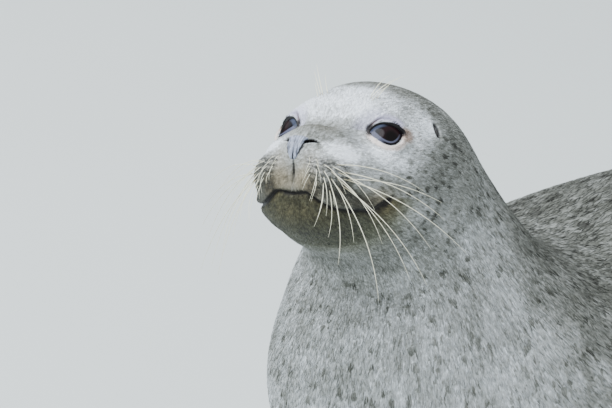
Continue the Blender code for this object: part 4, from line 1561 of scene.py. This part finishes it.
@dataclass
class Whiskers:
    """Stiff beaded whiskers in rows on the muzzle, and a few over each eye."""

    across: Triple = (0.76, 0.62, 0.0)  # the level way out, on the straight seal
    ahead: Triple = (0.97, -0.22, 0.0)  # the same for the first whisker of a row
    first_fall: float = 75.0  # degrees below level, of the first whisker of the top row
    most_fall: float = 97.0
    fall_column: float = -18.0
    fall_row: float = 13.5
    bend: float = 15.0
    lengths: Row = (0.016, 0.024, 0.040, 0.070, 0.098, 0.110, 0.096)
    row_share: Row = (0.50, 0.86, 1.0, 1.0, 0.92, 0.55)
    lean: Pair = (0.40, 0.10)  # away from the skin, for a row's first whisker, and less for each next
    full_column: float = 3.5  # from this column on, whiskers fall towards across
    base: float = 0.00050
    point: float = 0.00010
    full_length: float = 0.09  # shorter whiskers are thinner
    brow_thick: float = 1.35
    fall_spread: float = 4.0
    length_spread: Pair = (0.78, 1.08)
    rings: int = 16
    sides: int = 5
    brows: tuple[Triple, ...] = ((0.0205, 0.0830, 0.0570), (0.0245, 0.0865, 0.0580),
                                 (0.0190, 0.0870, 0.0605), (0.0235, 0.0810, 0.0550))
    brow_way: Triple = (0.50, 0.45, 0.74)
    brow_spread: float = 0.07
    brow_lengths: Row = (0.034, 0.028, 0.024, 0.018)
    seed: int = 21

    def curves(self, root: Array, out: Array, way: Array, first: Array, length: Array) -> Array:
        """Quadratic Bezier paths: from the root along first, ending along way.

        Args:
            root: Starts, array (n, 3).
            out: Outward directions there.
            way: Direction of each tip from its root.
            first: Direction in which each leaves.
            length: Distance from root to tip.

        Returns:
            Paths, array (n, rings, 3).
        """
        t = np.linspace(0.0, 1.0, self.rings)[None, :, None]
        start = (root - out * 0.0012)[:, None]
        end = (root + way * length[:, None])[:, None]
        middle = (root + (first * 0.5 + out * 0.05) * length[:, None])[:, None]
        return (1 - t) ** 2 * start + 2 * t * (1 - t) * middle + t**2 * end

    def fall(self, degrees: Array, column: Array) -> Array:
        """Directions that lie a number of degrees below the level way out."""
        angle = np.radians(degrees)
        share = np.clip(column / self.full_column, 0.0, 1.0)[:, None]
        level = unit(np.array(self.ahead) * (1 - share) + np.array(self.across) * share)
        way = np.cos(angle)[:, None] * level
        way[:, 2] -= np.sin(angle)
        return unit(way)

    def build(self, name: str, side: int, brows: bool) -> Object:
        """One side's whiskers of the muzzle or of the brow.

        Args:
            name: The piece's name.
            side: 1 for left, -1 for right.
            brows: Whether they stand over the eye.

        Returns:
            The whiskers as one object, with along, the share from root to tip.
        """
        rng = np.random.default_rng([self.seed, int(brows), side + 1])
        if brows:
            root = FORM.meet(np.array(self.brows) - (0.0, 0.0, 0.03), (0.0, 0.0, 1.0))
            way = unit(self.brow_way + rng.normal(0.0, self.brow_spread, root.shape))
            first, length = unit(way + (0.0, -0.25, 0.25)), np.array(self.brow_lengths)
            thick = self.brow_thick
        else:
            rays, row, column = PAD.directions()
            root = FORM.meet(PAD.centre, rays)
            fall = self.first_fall + self.fall_column * column + self.fall_row * row
            fall = np.minimum(fall, self.most_fall) + rng.normal(0.0, self.fall_spread, len(row))
            lean = FORM.normal(root) * np.clip(self.lean[0] - self.lean[1] * column, 0.0, 1.0)[:, None]
            way = unit(self.fall(fall, column) + lean)
            first = unit(self.fall(fall - self.bend, column) + lean * 2.0)
            length = np.array(self.lengths)[np.minimum(column, len(self.lengths) - 1).astype(int)]
            length = length * np.array(self.row_share)[row.astype(int)]
            length = length * rng.uniform(*self.length_spread, len(row))
            thick = 1.0
        out = FORM.normal(root)
        path = mirrored(self.curves(root, out, way, first, length), side)
        t = np.linspace(0.0, 1.0, self.rings)
        beads = 1 + 0.10 * np.cos(2 * math.pi * 5 * t)
        size = np.clip(length / self.full_length, 0.20, 1.0) ** 0.5 * thick
        radius = (self.point + (self.base - self.point) * (1 - t) ** 0.8) * beads * size[:, None]
        return swept(SPINE.pose(path), radius, self.sides, 0.7).make(name)


@dataclass
class Claws:
    """The five claws of one fin: tapering horn hooks on the digits' ends."""

    fin: Fin
    side: int
    rings: int = 26
    sides: int = 18
    sunk: float = 0.30  # share of a claw inside the flesh
    clear: float = 0.0006

    def build(self) -> Object:
        """The claws as one object, with along, the share from root to point."""
        length, thick = self.fin.claw
        t = np.linspace(0.0, 1.0, self.rings)
        paths = []
        size = thick * np.sqrt(np.maximum(1 - 0.93 * t**1.6, 0.0))
        for digit, reach in zip(self.fin.digits, self.fin.reach):
            _, along, _, out = self.fin.axes(np.array(reach))
            base = self.fin.point(np.array(0.97), np.array(digit), 0.4)
            path = (base + along * (length * (t - self.sunk))[:, None]
                    + out * (length * (0.10 * t - 0.30 * t**2))[:, None])
            path[:, 2] = np.maximum(path[:, 2], size + self.clear)
            paths.append(mirrored(path, self.side))
        claws = swept(np.array(paths), np.tile(size, (len(paths), 1)), self.sides, 0.86)
        return claws.make(f"{self.fin.name}_claws_{SIDES[self.side]}")


# --- Finishes


def operator(operation: str, swapped: bool = False) -> Callable[..., "Value"]:
    """A method that adds the Math node of one operator.

    Args:
        operation: The node's operation.
        swapped: Whether the other term comes first, as in 1 - mask.

    Returns:
        The method.
    """

    def method(self: "Value", *others: "Value | float") -> "Value":
        """Add the Math node."""
        terms = (*others, self) if swapped else (self, *others)
        return self.kit.maths(operation, *terms)

    return method


@dataclass(frozen=True)
class Value:
    """A number that varies over a surface; an expression on values adds its Math nodes."""

    kit: "Kit"
    socket: Socket

    __add__ = __radd__ = operator("ADD")
    __sub__ = operator("SUBTRACT")
    __rsub__ = operator("SUBTRACT", swapped=True)
    __mul__ = __rmul__ = operator("MULTIPLY")
    __rtruediv__ = operator("DIVIDE", swapped=True)
    __abs__ = operator("ABSOLUTE")
    least = operator("MINIMUM")
    most = operator("MAXIMUM")

    def ramp(self, start: float, end: float) -> "Value":
        """Rise from 0 to 1 between start and end."""
        low, high, at_low = (start, end, 0.0) if start < end else (end, start, 1.0)
        sockets = {"Value": self, "From Min": low, "From Max": high, "To Min": at_low,
                   "To Max": 1.0 - at_low}
        return self.kit.value("ShaderNodeMapRange", {"interpolation_type": "SMOOTHSTEP"}, sockets)

    def bell(self, centre: float, width: float) -> "Value":
        """A bump of height 1: 1 / (1 + x^4), x the distance from the centre over the width."""
        x = (self - centre) * (1.0 / width)
        square = x * x
        return 1.0 / (square * square + 1.0)


class Kit:
    """One material and the making of its nodes."""

    def __init__(self, name: str) -> None:
        """Start an empty material."""
        self.material = bpy.data.materials.new(name)
        self.material.use_nodes = True
        self.tree = self.material.node_tree
        self.tree.nodes.clear()

    def node(self, kind: str, settings: dict | None = None,
             sockets: dict | None = None) -> Node:
        """Add a node.

        Args:
            kind: The node's type.
            settings: Its settings, and stops, a list of place and colour, for a ramp.
            sockets: Values or links of its inputs, by name or number.

        Returns:
            The node.
        """
        node = self.tree.nodes.new(kind)
        for key, value in (settings or {}).items():
            if key == "stops":
                elements = node.color_ramp.elements
                while len(elements) < len(value):
                    elements.new(1.0)
                for element, (place, colour) in zip(elements, value):
                    element.position, element.color = place, (*colour, 1.0)
            else:
                setattr(node, key, value)
        for key, value in (sockets or {}).items():
            socket = node.inputs[key]
            value = value.socket if isinstance(value, Value) else value
            if isinstance(value, Socket):
                self.tree.links.new(value, socket)
            elif isinstance(value, tuple) and len(socket.default_value) == 4:
                socket.default_value = (*value, 1.0)
            else:
                socket.default_value = value
        return node

    def value(self, kind: str, settings: dict | None = None, sockets: dict | None = None,
              output: int | str = 0) -> Value:
        """Add a node and read one output as a value."""
        return Value(self, self.node(kind, settings, sockets).outputs[output])

    def maths(self, operation: str, *terms: Value | float) -> Value:
        """Add a Math node."""
        return self.value("ShaderNodeMath", {"operation": operation}, dict(enumerate(terms)))

    def vector(self, operation: str, *terms: object) -> Socket:
        """Add a Vector Math node."""
        node = self.node("ShaderNodeVectorMath", {"operation": operation}, dict(enumerate(terms)))
        return node.outputs[0]

    def mix(self, share: Value | float, first: object, second: object, blend: str = "MIX") -> Socket:
        """One colour into another by a share."""
        settings = {"data_type": "RGBA", "blend_type": blend}
        return self.node("ShaderNodeMix", settings, {0: share, 6: first, 7: second}).outputs[2]

    def tint(self, first: object, second: object) -> Socket:
        """One colour multiplied by another."""
        return self.mix(1.0, first, second, "MULTIPLY")

    def grey(self, value: Value) -> Socket:
        """A value as a grey colour."""
        return self.node("ShaderNodeCombineXYZ", None, {0: value, 1: value, 2: value}).outputs[0]

    def scale(self, colour: object, share: Value) -> Socket:
        """A colour made lighter or darker by a value."""
        return self.tint(colour, self.grey(share))

    def attribute(self, name: str) -> Socket:
        """A named value of the piece's points, as a vector."""
        return self.node("ShaderNodeAttribute", {"attribute_name": name}).outputs["Vector"]

    def amount(self, name: str) -> Value:
        """A named single value of the piece's points."""
        return self.value("ShaderNodeAttribute", {"attribute_name": name}, None, "Fac")

    def parts(self, name: str) -> tuple[Value, Value, Value]:
        """The three numbers of a named value."""
        split = self.node("ShaderNodeSeparateXYZ", None, {0: self.attribute(name)})
        return tuple(Value(self, out) for out in split.outputs)

    def stretched(self, *by: float) -> Socket:
        """Straight points with each axis multiplied, so that a pattern is long where it's small."""
        return self.vector("MULTIPLY", self.attribute("rest"), by)

    def cells(self, vector: object, scale: float, **settings: str) -> dict[str, Value]:
        """The outputs of a Voronoi pattern of a number of cells a metre, by name."""
        node = self.node("ShaderNodeTexVoronoi", settings, {"Vector": vector, "Scale": scale})
        return {out.name: Value(self, out) for out in node.outputs}

    def place(self) -> Socket:
        """Object coordinates."""
        return self.node("ShaderNodeTexCoord").outputs["Object"]

    def noise(self, vector: object, scale: float, detail: float = 2.0, rough: float = 0.55) -> Value:
        """Noise of about 0 to 1."""
        return self.value("ShaderNodeTexNoise", None,
                          {"Vector": vector, "Scale": scale, "Detail": detail, "Roughness": rough})

    def finish(self, colour: object, roughness: Value | float, height: Value | None = None,
               depth: float = 0.0, **fixed: object) -> Material:
        """Close the material with a Principled shader.

        Args:
            colour: Base colour.
            roughness: Roughness.
            height: Relief for a bump, 0 to 1.
            depth: Depth of that relief in metres.
            fixed: Sockets that are the same all over, underscores for spaces.

        Returns:
            The material.
        """
        sockets = {"Base Color": colour, "Roughness": roughness}
        if height is not None:
            relief = {"Strength": 1.0, "Distance": depth, "Height": height}
            sockets["Normal"] = self.node("ShaderNodeBump", None, relief).outputs[0]
        sockets |= {key.replace("_", " "): value for key, value in fixed.items()}
        shader = self.node("ShaderNodeBsdfPrincipled", None, sockets)
        self.node("ShaderNodeOutputMaterial", None, {"Surface": shader.outputs[0]})
        return self.material


@dataclass(frozen=True)
class CoatFinish:
    """Damp spotted fur, with bare lids, lips and slits, on skin and tufts alike."""

    # The palest, bluish-white stop is partly a painted highlight: the sky's sheen on the top-lit
    # forehead.
    shades: tuple[tuple[float, Colour], ...] = (
        (0.0, (0.90, 0.94, 0.99)), (0.20, (0.50, 0.52, 0.53)), (0.45, (0.260, 0.267, 0.250)),
        (0.72, (0.110, 0.113, 0.096)), (1.0, (0.030, 0.030, 0.025)))
    warm: Colour = (0.45, 0.385, 0.26)
    # a tint that darkens and greens the jaw: painted shade and a painted green reflection from below
    jaw_shade_and_reflection: Colour = (0.58, 0.58, 0.38)
    black: Colour = (0.006, 0.005, 0.006)
    speck: Colour = (0.030, 0.030, 0.027)
    lavender: Colour = (0.51, 0.49, 0.65)
    # rim is the colour of the painted shade in the upper lid's crease
    rim: Colour = (0.13, 0.085, 0.08)
    corner: Colour = (0.29, 0.165, 0.095)
    blush: Colour = (0.84, 0.72, 0.66)
    spot_scale: float = 135.0  # cells a metre
    fleck_scale: float = 260.0
    blotch_scale: float = 52.0

    def spots(self, kit: Kit, rest: object, scale: float, size: float) -> Value:
        """1 inside dark spots and 0 outside; their radii vary up to size, a share of a cell."""
        cell = kit.cells(rest, scale)
        return ((cell["Color"] * size - cell["Distance"]) * 9.0).ramp(0.0, 1.0)

    def darkness(self, kit: Kit) -> tuple[Value, Value]:
        """How dark the coat is: tone, spots, flecks and pale rings, broken up by noise.

        Args:
            kit: The material.

        Returns:
            Darkness, 0 to 1, and the fine streaks, 0 to 1.
        """
        rest = kit.attribute("rest")
        dark, _, spotted = kit.parts("tone")
        _, station, _ = kit.parts("rest")
        warp = kit.node("ShaderNodeTexNoise", None, {"Vector": rest, "Scale": 75.0, "Detail": 2.0})
        shift = kit.node("ShaderNodeVectorMath", {"operation": "SCALE"},
                         {0: warp.outputs["Color"], "Scale": 0.010})
        moved = kit.vector("ADD", rest, shift.outputs[0])
        stretched = kit.vector("MULTIPLY", moved, (1.0, 0.62, 1.0))
        back = station.ramp(0.22, 0.42)
        large = self.spots(kit, stretched, self.spot_scale, 0.56)
        small = self.spots(kit, stretched, self.fleck_scale, 0.54)
        broad = self.spots(kit, stretched, self.blotch_scale, 0.60) * back
        mottle = kit.noise(rest, 38.0, 3.0)
        patch = kit.noise(rest, 12.0, 2.0)
        streak = kit.noise(kit.stretched(1.0, 0.16, 1.0), 780.0, 3.0, 0.65)
        fleck = kit.noise(kit.stretched(1.0, 0.5, 1.0), 420.0, 3.0, 0.62)
        ring = kit.cells(stretched, 38.0)["Distance"].bell(0.42, 0.10) * station.ramp(0.26, 0.40)
        total = (dark + spotted * (large * 0.40 + small * 0.26 + broad * 0.30)
                 + (mottle - 0.5) * 0.55 + (patch - 0.5) * 0.25 + (streak - 0.5) * 0.60)
        total = total + (fleck - 0.5) * 0.85 * (1.0 - back * 0.6)
        total = total - ring * 0.16 + kit.amount("shade") * 0.035
        return total.most(0.0).least(1.0), streak

    def lids(self, kit: Kit, colour: object) -> object:
        """Colours round the eyes: dark liner, pale folds, tear line, warm corner and painted shade in
        the upper lid's crease.

        Args:
            kit: The material.
            colour: The coat's colour.

        Returns:
            That colour with the lids' over it.
        """
        gap, rise, share = kit.parts("lids")
        over, under = rise.ramp(-0.4, 0.6), rise.ramp(0.2, -0.6)
        ends = abs(share).ramp(1.40, 1.05)
        fold = 5.4 - (share * share).least(1.0) * 2.8
        pale = gap.ramp(1.4, 2.6) * gap.ramp(11.0, 5.0) * over * abs(share).ramp(1.2, 0.7)
        cool = gap.ramp(1.4, 2.6) * gap.ramp(19.0, 8.0) * over * share.ramp(0.1, -0.8)
        colour = kit.mix((pale * 0.80).most(cool * 0.48), colour, self.lavender)
        below = gap.ramp(0.4, 1.4) * gap.ramp(6.5, 3.4) * under * ends
        colour = kit.mix(below * 0.85, colour, self.blush)
        # Painted shade in the upper lid's crease, strongest towards the inner corner.
        inner = share.ramp(-0.2, -0.95)
        crease = ((gap - fold) * (1.0 - inner * 0.45)).bell(0.0, 0.60) * over * ends
        crease = crease * (0.28 + inner * 0.65)
        colour = kit.mix(crease, colour, self.rim)
        out, deep = (share - 1.28) * 10.5, rise - 0.5
        corner = (out * out + deep * deep * 0.5).ramp(40.0, 3.0)
        colour = kit.mix(corner * 0.75, colour, self.corner)
        liner = (gap - share.most(0.0) * 1.7 - share * 0.3).ramp(2.0, 1.2) * over * ends
        out, deep = (share + 1.05) * 13.0, rise - 0.6
        front = (out * out + deep * deep * 0.4).ramp(20.0, 3.0)
        back = abs(rise).ramp(2.6, 1.0) * share.ramp(0.88, 0.96) * share.ramp(1.38, 1.12)
        inside = gap.ramp(0.15, -0.25)
        return kit.mix(liner.most(front * 0.96).most(back * 0.85).most(inside), colour, self.black)

    def mouth(self, kit: Kit, colour: object) -> object:
        """Colours round the mouth: painted shade and a painted green reflection on the jaw, dark lips
        with painted shade in their gap and in the groove below the nose, and painted shade in the slits
        of nose and ear.

        Args:
            kit: The material.
            colour: The colour so far.

        Returns:
            That colour with these over it.
        """
        line, above, slit = kit.parts("marks")
        x, station, height = kit.parts("rest")
        # Painted shade and a painted green reflection on the jaw below the mouth line.
        jaw = above.ramp(0.6, -1.4) * station.ramp(0.115, 0.070) * height.ramp(-0.012, -0.020)
        colour = kit.mix(jaw * 0.85, colour, kit.tint(colour, self.jaw_shade_and_reflection))
        # Black along the mouth line: the lips' dark edges and painted shade in the gap between them.
        # The black in the groove below the nose is painted shade in it.
        ragged = line + (kit.noise(kit.attribute("rest"), 230.0, 2.0) - 0.5) * 2.6
        lip = ragged.ramp(2.7, 0.8) * station.ramp(0.084, 0.072)
        cleft = abs(x).ramp(0.0009, 0.0003) * station.ramp(0.032, 0.024)
        cleft = cleft * height.ramp(-0.0240, -0.0165) * height.ramp(-0.0065, -0.0090)
        colour = kit.mix((lip * 0.93).most(cleft * 0.82), colour, self.black)
        # Painted shade: the nostrils, the ear openings and the skin along the nose pad's sides go
        # black.
        return kit.mix(slit.ramp(1.35, 0.85), colour, self.black)

    def dots(self, kit: Kit) -> Value:
        """Dark dots at the roots of the whiskers."""
        row, column, present = kit.parts("pad")
        rest = kit.attribute("rest")
        sway = [kit.noise(rest, scale, 2.0) - 0.5 for scale in (150.0, 190.0)]
        away = [n - kit.maths("ROUND", n) for n in (row + sway[0] * 1.7, column + sway[1] * 1.9)]
        spread = away[0] * away[0] * 1.2 + away[1] * away[1] * 0.5
        dots = spread.ramp(0.13, 0.03) * kit.noise(rest, 190.0, 1.0).ramp(0.30, 0.50)
        fine = kit.noise(kit.stretched(1.0, 0.7, 1.0), 640.0, 2.0, 0.6)
        return dots.most(fine.ramp(0.50, 0.58) * 0.88) * present

    def material(self) -> Material:
        """The finish as one material."""
        kit = Kit("damp_spotted_fur")
        dark, streak = self.darkness(kit)
        ramp_node = kit.node("ShaderNodeValToRGB", {"stops": self.shades}, {"Fac": dark})
        colour = ramp_node.outputs["Color"]
        _, warmth, _ = kit.parts("tone")
        upright = kit.noise(kit.stretched(1.0, 0.5, 0.22), 300.0, 2.0)
        tan = kit.scale(self.warm, 1.60 - dark - upright * 0.75)
        colour = kit.mix(warmth * 0.85, colour, tan)
        dots = self.dots(kit)
        colour = kit.mix(dots * 0.85, colour, self.speck)
        colour = self.mouth(kit, self.lids(kit, colour))
        colour = kit.scale(colour, 1.0 + kit.amount("tip") * 0.10)
        gap, _, _ = kit.parts("lids")
        wet = gap.ramp(2.4, 1.0)
        roughness = (0.44 + streak * 0.22) * (1.0 - wet * 0.60)
        height = streak * 0.85 - dots * 0.25
        return kit.finish(colour, roughness, height, 0.0006, Specular_IOR_Level=0.26)


@dataclass(frozen=True)
class EyeFinish:
    """A wet, nearly black eye with a brown iris over a pale inner lid, and a painted reflection of the
    sky over its upper inner side.
    """

    pupil: Colour = (0.003, 0.002, 0.002)
    iris: Colour = (0.015, 0.006, 0.007)
    limb: Colour = (0.006, 0.005, 0.007)
    # the colour of the painted reflection of the sky
    sky_reflection: Colour = (0.056, 0.068, 0.108)
    lower: Colour = (0.115, 0.122, 0.180)

    def material(self) -> Material:
        """The finish as one material, by the angle from the way it looks."""
        kit = Kit("wet_dark_eye")
        gaze = kit.amount("gaze")
        fibre = kit.noise(kit.attribute("look"), 24.0, 4.0, 0.6)
        iris = kit.mix(fibre, self.iris, kit.tint(self.iris, (0.45, 0.45, 0.5)))
        colour = kit.mix(gaze.ramp(0.20, 0.40), self.pupil, iris)
        colour = kit.mix(gaze.ramp(0.50, 0.60), colour, self.limb)
        gap, under, share = kit.parts("edge")
        # Painted reflection of the sky on the wet ball, over its upper inner side inside the opening.
        sky_reflection = share.ramp(0.05, -0.50) * gap.ramp(-3.6, -2.0) * (1.0 - under)
        colour = kit.mix(sky_reflection * (0.45 + fibre * 0.55), colour, self.sky_reflection)
        band = gap.ramp(-3.5, -2.7) * under * share.ramp(0.92, 0.55)
        colour = kit.mix(band * (0.50 + fibre * 0.5), colour, self.lower)
        seam = gap.ramp(-2.2, -1.6) * under * share.ramp(-0.50, 0.0)
        colour = kit.mix(seam, colour, self.limb)
        return kit.finish(colour, 0.20 + fibre * 0.06, fibre, 0.00005, Specular_IOR_Level=0.0,
                          Coat_Weight=0.10, Coat_IOR=2.0, Coat_Roughness=0.13)


@dataclass(frozen=True)
class NoseFinish:
    """Moist blue-grey leather, streaked dark from top to bottom, its pale blue-grey partly a painted
    sheen of the wet surface, with painted shade low down, in its groove, nostrils and side edges.
    """

    # pale is partly the leather's colour and partly a painted sheen of the wet surface
    pale: Colour = (0.37, 0.41, 0.53)
    dark: Colour = (0.045, 0.052, 0.075)
    black: Colour = (0.008, 0.008, 0.010)

    def material(self) -> Material:
        """The finish as one material."""
        kit = Kit("moist_nose_leather")
        rest = kit.attribute("rest")
        x, _, z = kit.parts("rest")
        streak = kit.noise(kit.stretched(1.0, 0.3, 0.14), 620.0, 3.0, 0.6)
        pores = kit.cells(kit.stretched(1.0, 1.0, 0.45), 900.0, feature="DISTANCE_TO_EDGE")
        cracks = pores["Distance"].ramp(0.0, 0.22)
        blotch = kit.noise(rest, 160.0, 2.0)
        # low: more dark streaks towards the bottom of the pad, painted shade on its underside
        low = z.ramp(0.004, -0.006)
        # Painted shade in the groove down the middle of the pad.
        cleft = abs(x).ramp(0.0011, 0.0003) * z.ramp(0.004, -0.004)
        share = streak.ramp(0.44, 0.60) * (0.70 + low * 0.25) + blotch.ramp(0.5, 0.75) * 0.25
        colour = kit.mix(share.least(1.0), self.pale, self.dark)
        colour = kit.mix((1.0 - cracks) * 0.35, colour, self.dark)
        # Painted shade: the nostrils and the pad's side edges go black.
        slit = kit.amount("slit").ramp(1.45, 0.85)
        rim = kit.amount("rim").ramp(0.84, 0.98) * z.ramp(-0.0065, -0.0020) * z.ramp(0.0108, 0.0075)
        colour = kit.mix(slit.most(cleft * 0.9).most(rim), colour, self.black)
        height = cracks * 0.6 + streak * 0.4
        return kit.finish(colour, 0.26 + blotch * 0.18, height, 0.00022, Specular_IOR_Level=0.5,
                          Coat_Weight=0.25, Coat_Roughness=0.12)


@dataclass(frozen=True)
class HairFinish:
    """Pale yellow whisker horn, dark where it leaves the skin."""

    pale: Colour = (0.94, 0.91, 0.70)
    root: Colour = (0.30, 0.26, 0.16)

    def material(self) -> Material:
        """The finish as one material."""
        kit = Kit("whisker_horn")
        along = kit.amount("along")
        grain = kit.noise(kit.place(), 500.0, 2.0)
        colour = kit.mix(along.ramp(0.02, 0.14) * (0.9 + grain * 0.2), self.root, self.pale)
        return kit.finish(colour, 0.34 + grain * 0.1, grain, 0.00005, Specular_IOR_Level=0.5)


@dataclass(frozen=True)
class ClawFinish:
    """Dark horn, ringed across and paler at the points."""

    root: Colour = (0.030, 0.024, 0.020)
    point: Colour = (0.16, 0.125, 0.095)

    def material(self) -> Material:
        """The finish as one material."""
        kit = Kit("claw_horn")
        along = kit.amount("along")
        grain = kit.noise(kit.place(), 300.0, 3.0)
        band = kit.maths("SINE", along * 62.0 + grain * 3.0) * 0.5 + 0.5
        share = along.ramp(0.55, 1.0) * 0.7 + grain * 0.15 + band * 0.06
        colour = kit.mix(share.least(1.0), self.root, self.point)
        height = band * 0.5 + grain * 0.5
        return kit.finish(colour, 0.32 + grain * 0.2, height, 0.0002, Specular_IOR_Level=0.5)


@dataclass(frozen=True)
class EarFinish:
    """Bare dark skin at the bottom of the ear openings."""

    skin: Colour = (0.010, 0.009, 0.009)
    fold: Colour = (0.030, 0.024, 0.022)

    def material(self) -> Material:
        """The finish as one material."""
        kit = Kit("bare_ear_skin")
        grain = kit.noise(kit.place(), 700.0, 3.0)
        colour = kit.mix(grain.ramp(0.45, 0.7), self.skin, self.fold)
        return kit.finish(colour, 0.38 + grain * 0.2, grain, 0.0003, Specular_IOR_Level=0.4)


# --- Studio


@dataclass(frozen=True)
class Lamp:
    """A soft round lamp: the way it lies from the head, its size, power and colour."""

    azimuth: float  # degrees from straight ahead of the seal's tail line, turning left
    elevation: float
    distance: float
    size: float
    power: float
    colour: Colour


@dataclass
class Studio:
    """A pale floor, soft lamps and the camera."""

    azimuth: float = math.radians(40.0)
    elevation: float = math.radians(25.0)
    distance: float = 4.5
    frame_width: float = 0.478
    sensor: float = 36.0
    aim: Triple = (0.0, 0.078, 0.028)  # on the straight seal
    shift: Pair = (-0.0254, -0.0575)
    floor_half: float = 9.0
    floor_colour: Colour = (0.66, 0.70, 0.69)
    world: Colour = (0.90, 0.96, 1.0)
    world_strength: float = 1.0
    lamps: tuple[Lamp, ...] = (
        Lamp(-24.0, 66.0, 2.6, 3.0, 168.0, (0.90, 0.95, 1.0)),
        Lamp(-100.0, 28.0, 2.6, 1.8, 16.0, (0.94, 0.97, 1.0)),
    )

    def looking(self, back: Vector, place: Vector) -> Matrix:
        """A placement at a place whose own z axis points back."""
        return Matrix.Translation(place) @ back.to_track_quat("Z", "Y").to_matrix().to_4x4()

    def build(self) -> None:
        """Make floor, world, lamps and camera."""
        corners = self.floor_half * np.array(((-1, -1, 0), (1, -1, 0), (1, 1, 0), (-1, 1, 0)))
        floor = Surface(corners, [np.array([[0, 1, 2, 3]])]).make("floor")
        kit = Kit("pale_floor")
        grain = kit.noise(kit.place(), 3.0, 2.0)
        colour = kit.scale(self.floor_colour, 0.98 + grain * 0.04)
        floor.data.materials.append(kit.finish(colour, 0.75))
        world = bpy.data.worlds.new("soft_studio")
        world.use_nodes = True
        sky = world.node_tree.nodes["Background"]
        sky.inputs["Color"].default_value = (*self.world, 1.0)
        sky.inputs["Strength"].default_value = self.world_strength
        bpy.context.scene.world = world
        head = Vector(SPINE.pose(np.array([self.aim]))[0])
        for number, lamp in enumerate(self.lamps):
            light = bpy.data.lights.new(f"lamp_{number}", "AREA")
            light.shape = "DISK"
            light.size, light.energy, light.color = lamp.size, lamp.power, lamp.colour
            holder = bpy.data.objects.new(light.name, light)
            back = Vector(heading(math.radians(lamp.azimuth), math.radians(lamp.elevation)))
            holder.matrix_world = self.looking(back, head + back * lamp.distance)
            bpy.context.scene.collection.objects.link(holder)
        self.camera(head)

    def camera(self, head: Vector) -> None:
        """Set the camera on the head, offset to the right and down by the shift.

        Args:
            head: The place that the studio is set round.
        """
        back = Vector(heading(self.azimuth, self.elevation))
        right = Vector((math.cos(self.azimuth), math.sin(self.azimuth), 0.0))
        target = head + right * self.shift[0] + back.cross(right) * self.shift[1]
        lens = bpy.data.cameras.new("camera")
        lens.sensor_width = self.sensor
        lens.lens = self.sensor * self.distance / self.frame_width
        lens.clip_end = 60.0
        holder = bpy.data.objects.new("camera", lens)
        holder.matrix_world = self.looking(back, target + back * self.distance)
        bpy.context.scene.collection.objects.link(holder)
        bpy.context.scene.camera = holder


# --- The whole seal


def dress(obj: Object, look: Material, slot: Slot, *nodes: str) -> None:
    """Give a piece its finish, the body it rides on and the nodes it stands for.

    Args:
        obj: The piece.
        look: Its material.
        slot: The record's slot; not used.
        nodes: CAD nodes that it replaces.
    """
    obj.data.materials.clear()
    obj.data.materials.append(look)
    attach(obj, "root")
    if nodes:
        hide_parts(*nodes)
    obj.data.calc_loop_triangles()
    LOG.info("%s: %d triangles", obj.name, len(obj.data.loop_triangles))


def main() -> None:
    """Build the pieces in order, then the studio."""
    logging.basicConfig(level=logging.INFO, format="%(name)s %(message)s")
    fur = CoatFinish().material()
    skin = Skin()
    dress(skin.build(), fur, Slot.COAT, *FLESH)
    coat = Coat(skin.obj)
    for area in COAT_AREAS:
        dress(coat.build(area), fur, Slot.CHIN if area.jaw else Slot.COAT)
    wet, horn, claw = EyeFinish().material(), HairFinish().material(), ClawFinish().material()
    for eye in EYES:
        word = SIDES[eye.side]
        dress(Eyeball(eye).build(), wet, Slot.EYE, f"eye_{word}")
        hairs = Whiskers()
        dress(hairs.build(f"whiskers_{word}", eye.side, False), horn, Slot.WHISKER)
        dress(hairs.build(f"brow_whiskers_{word}", eye.side, True), horn, Slot.WHISKER)
        for fin in (FORE, HIND):
            nodes = [f"{fin.name}_claw_{word}_{n}" for n in range(1, 6)]
            dress(Claws(fin, eye.side).build(), claw, Slot.CLAW, *nodes)
    dress(NosePad().build(), NoseFinish().material(), Slot.NOSE, "nose")
    ear = EarFinish().material()
    for word in SIDES.values():
        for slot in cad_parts[f"ear_{word}"].material_slots:
            slot.material = ear
    Studio().build()


if __name__ == "__main__":
    main()
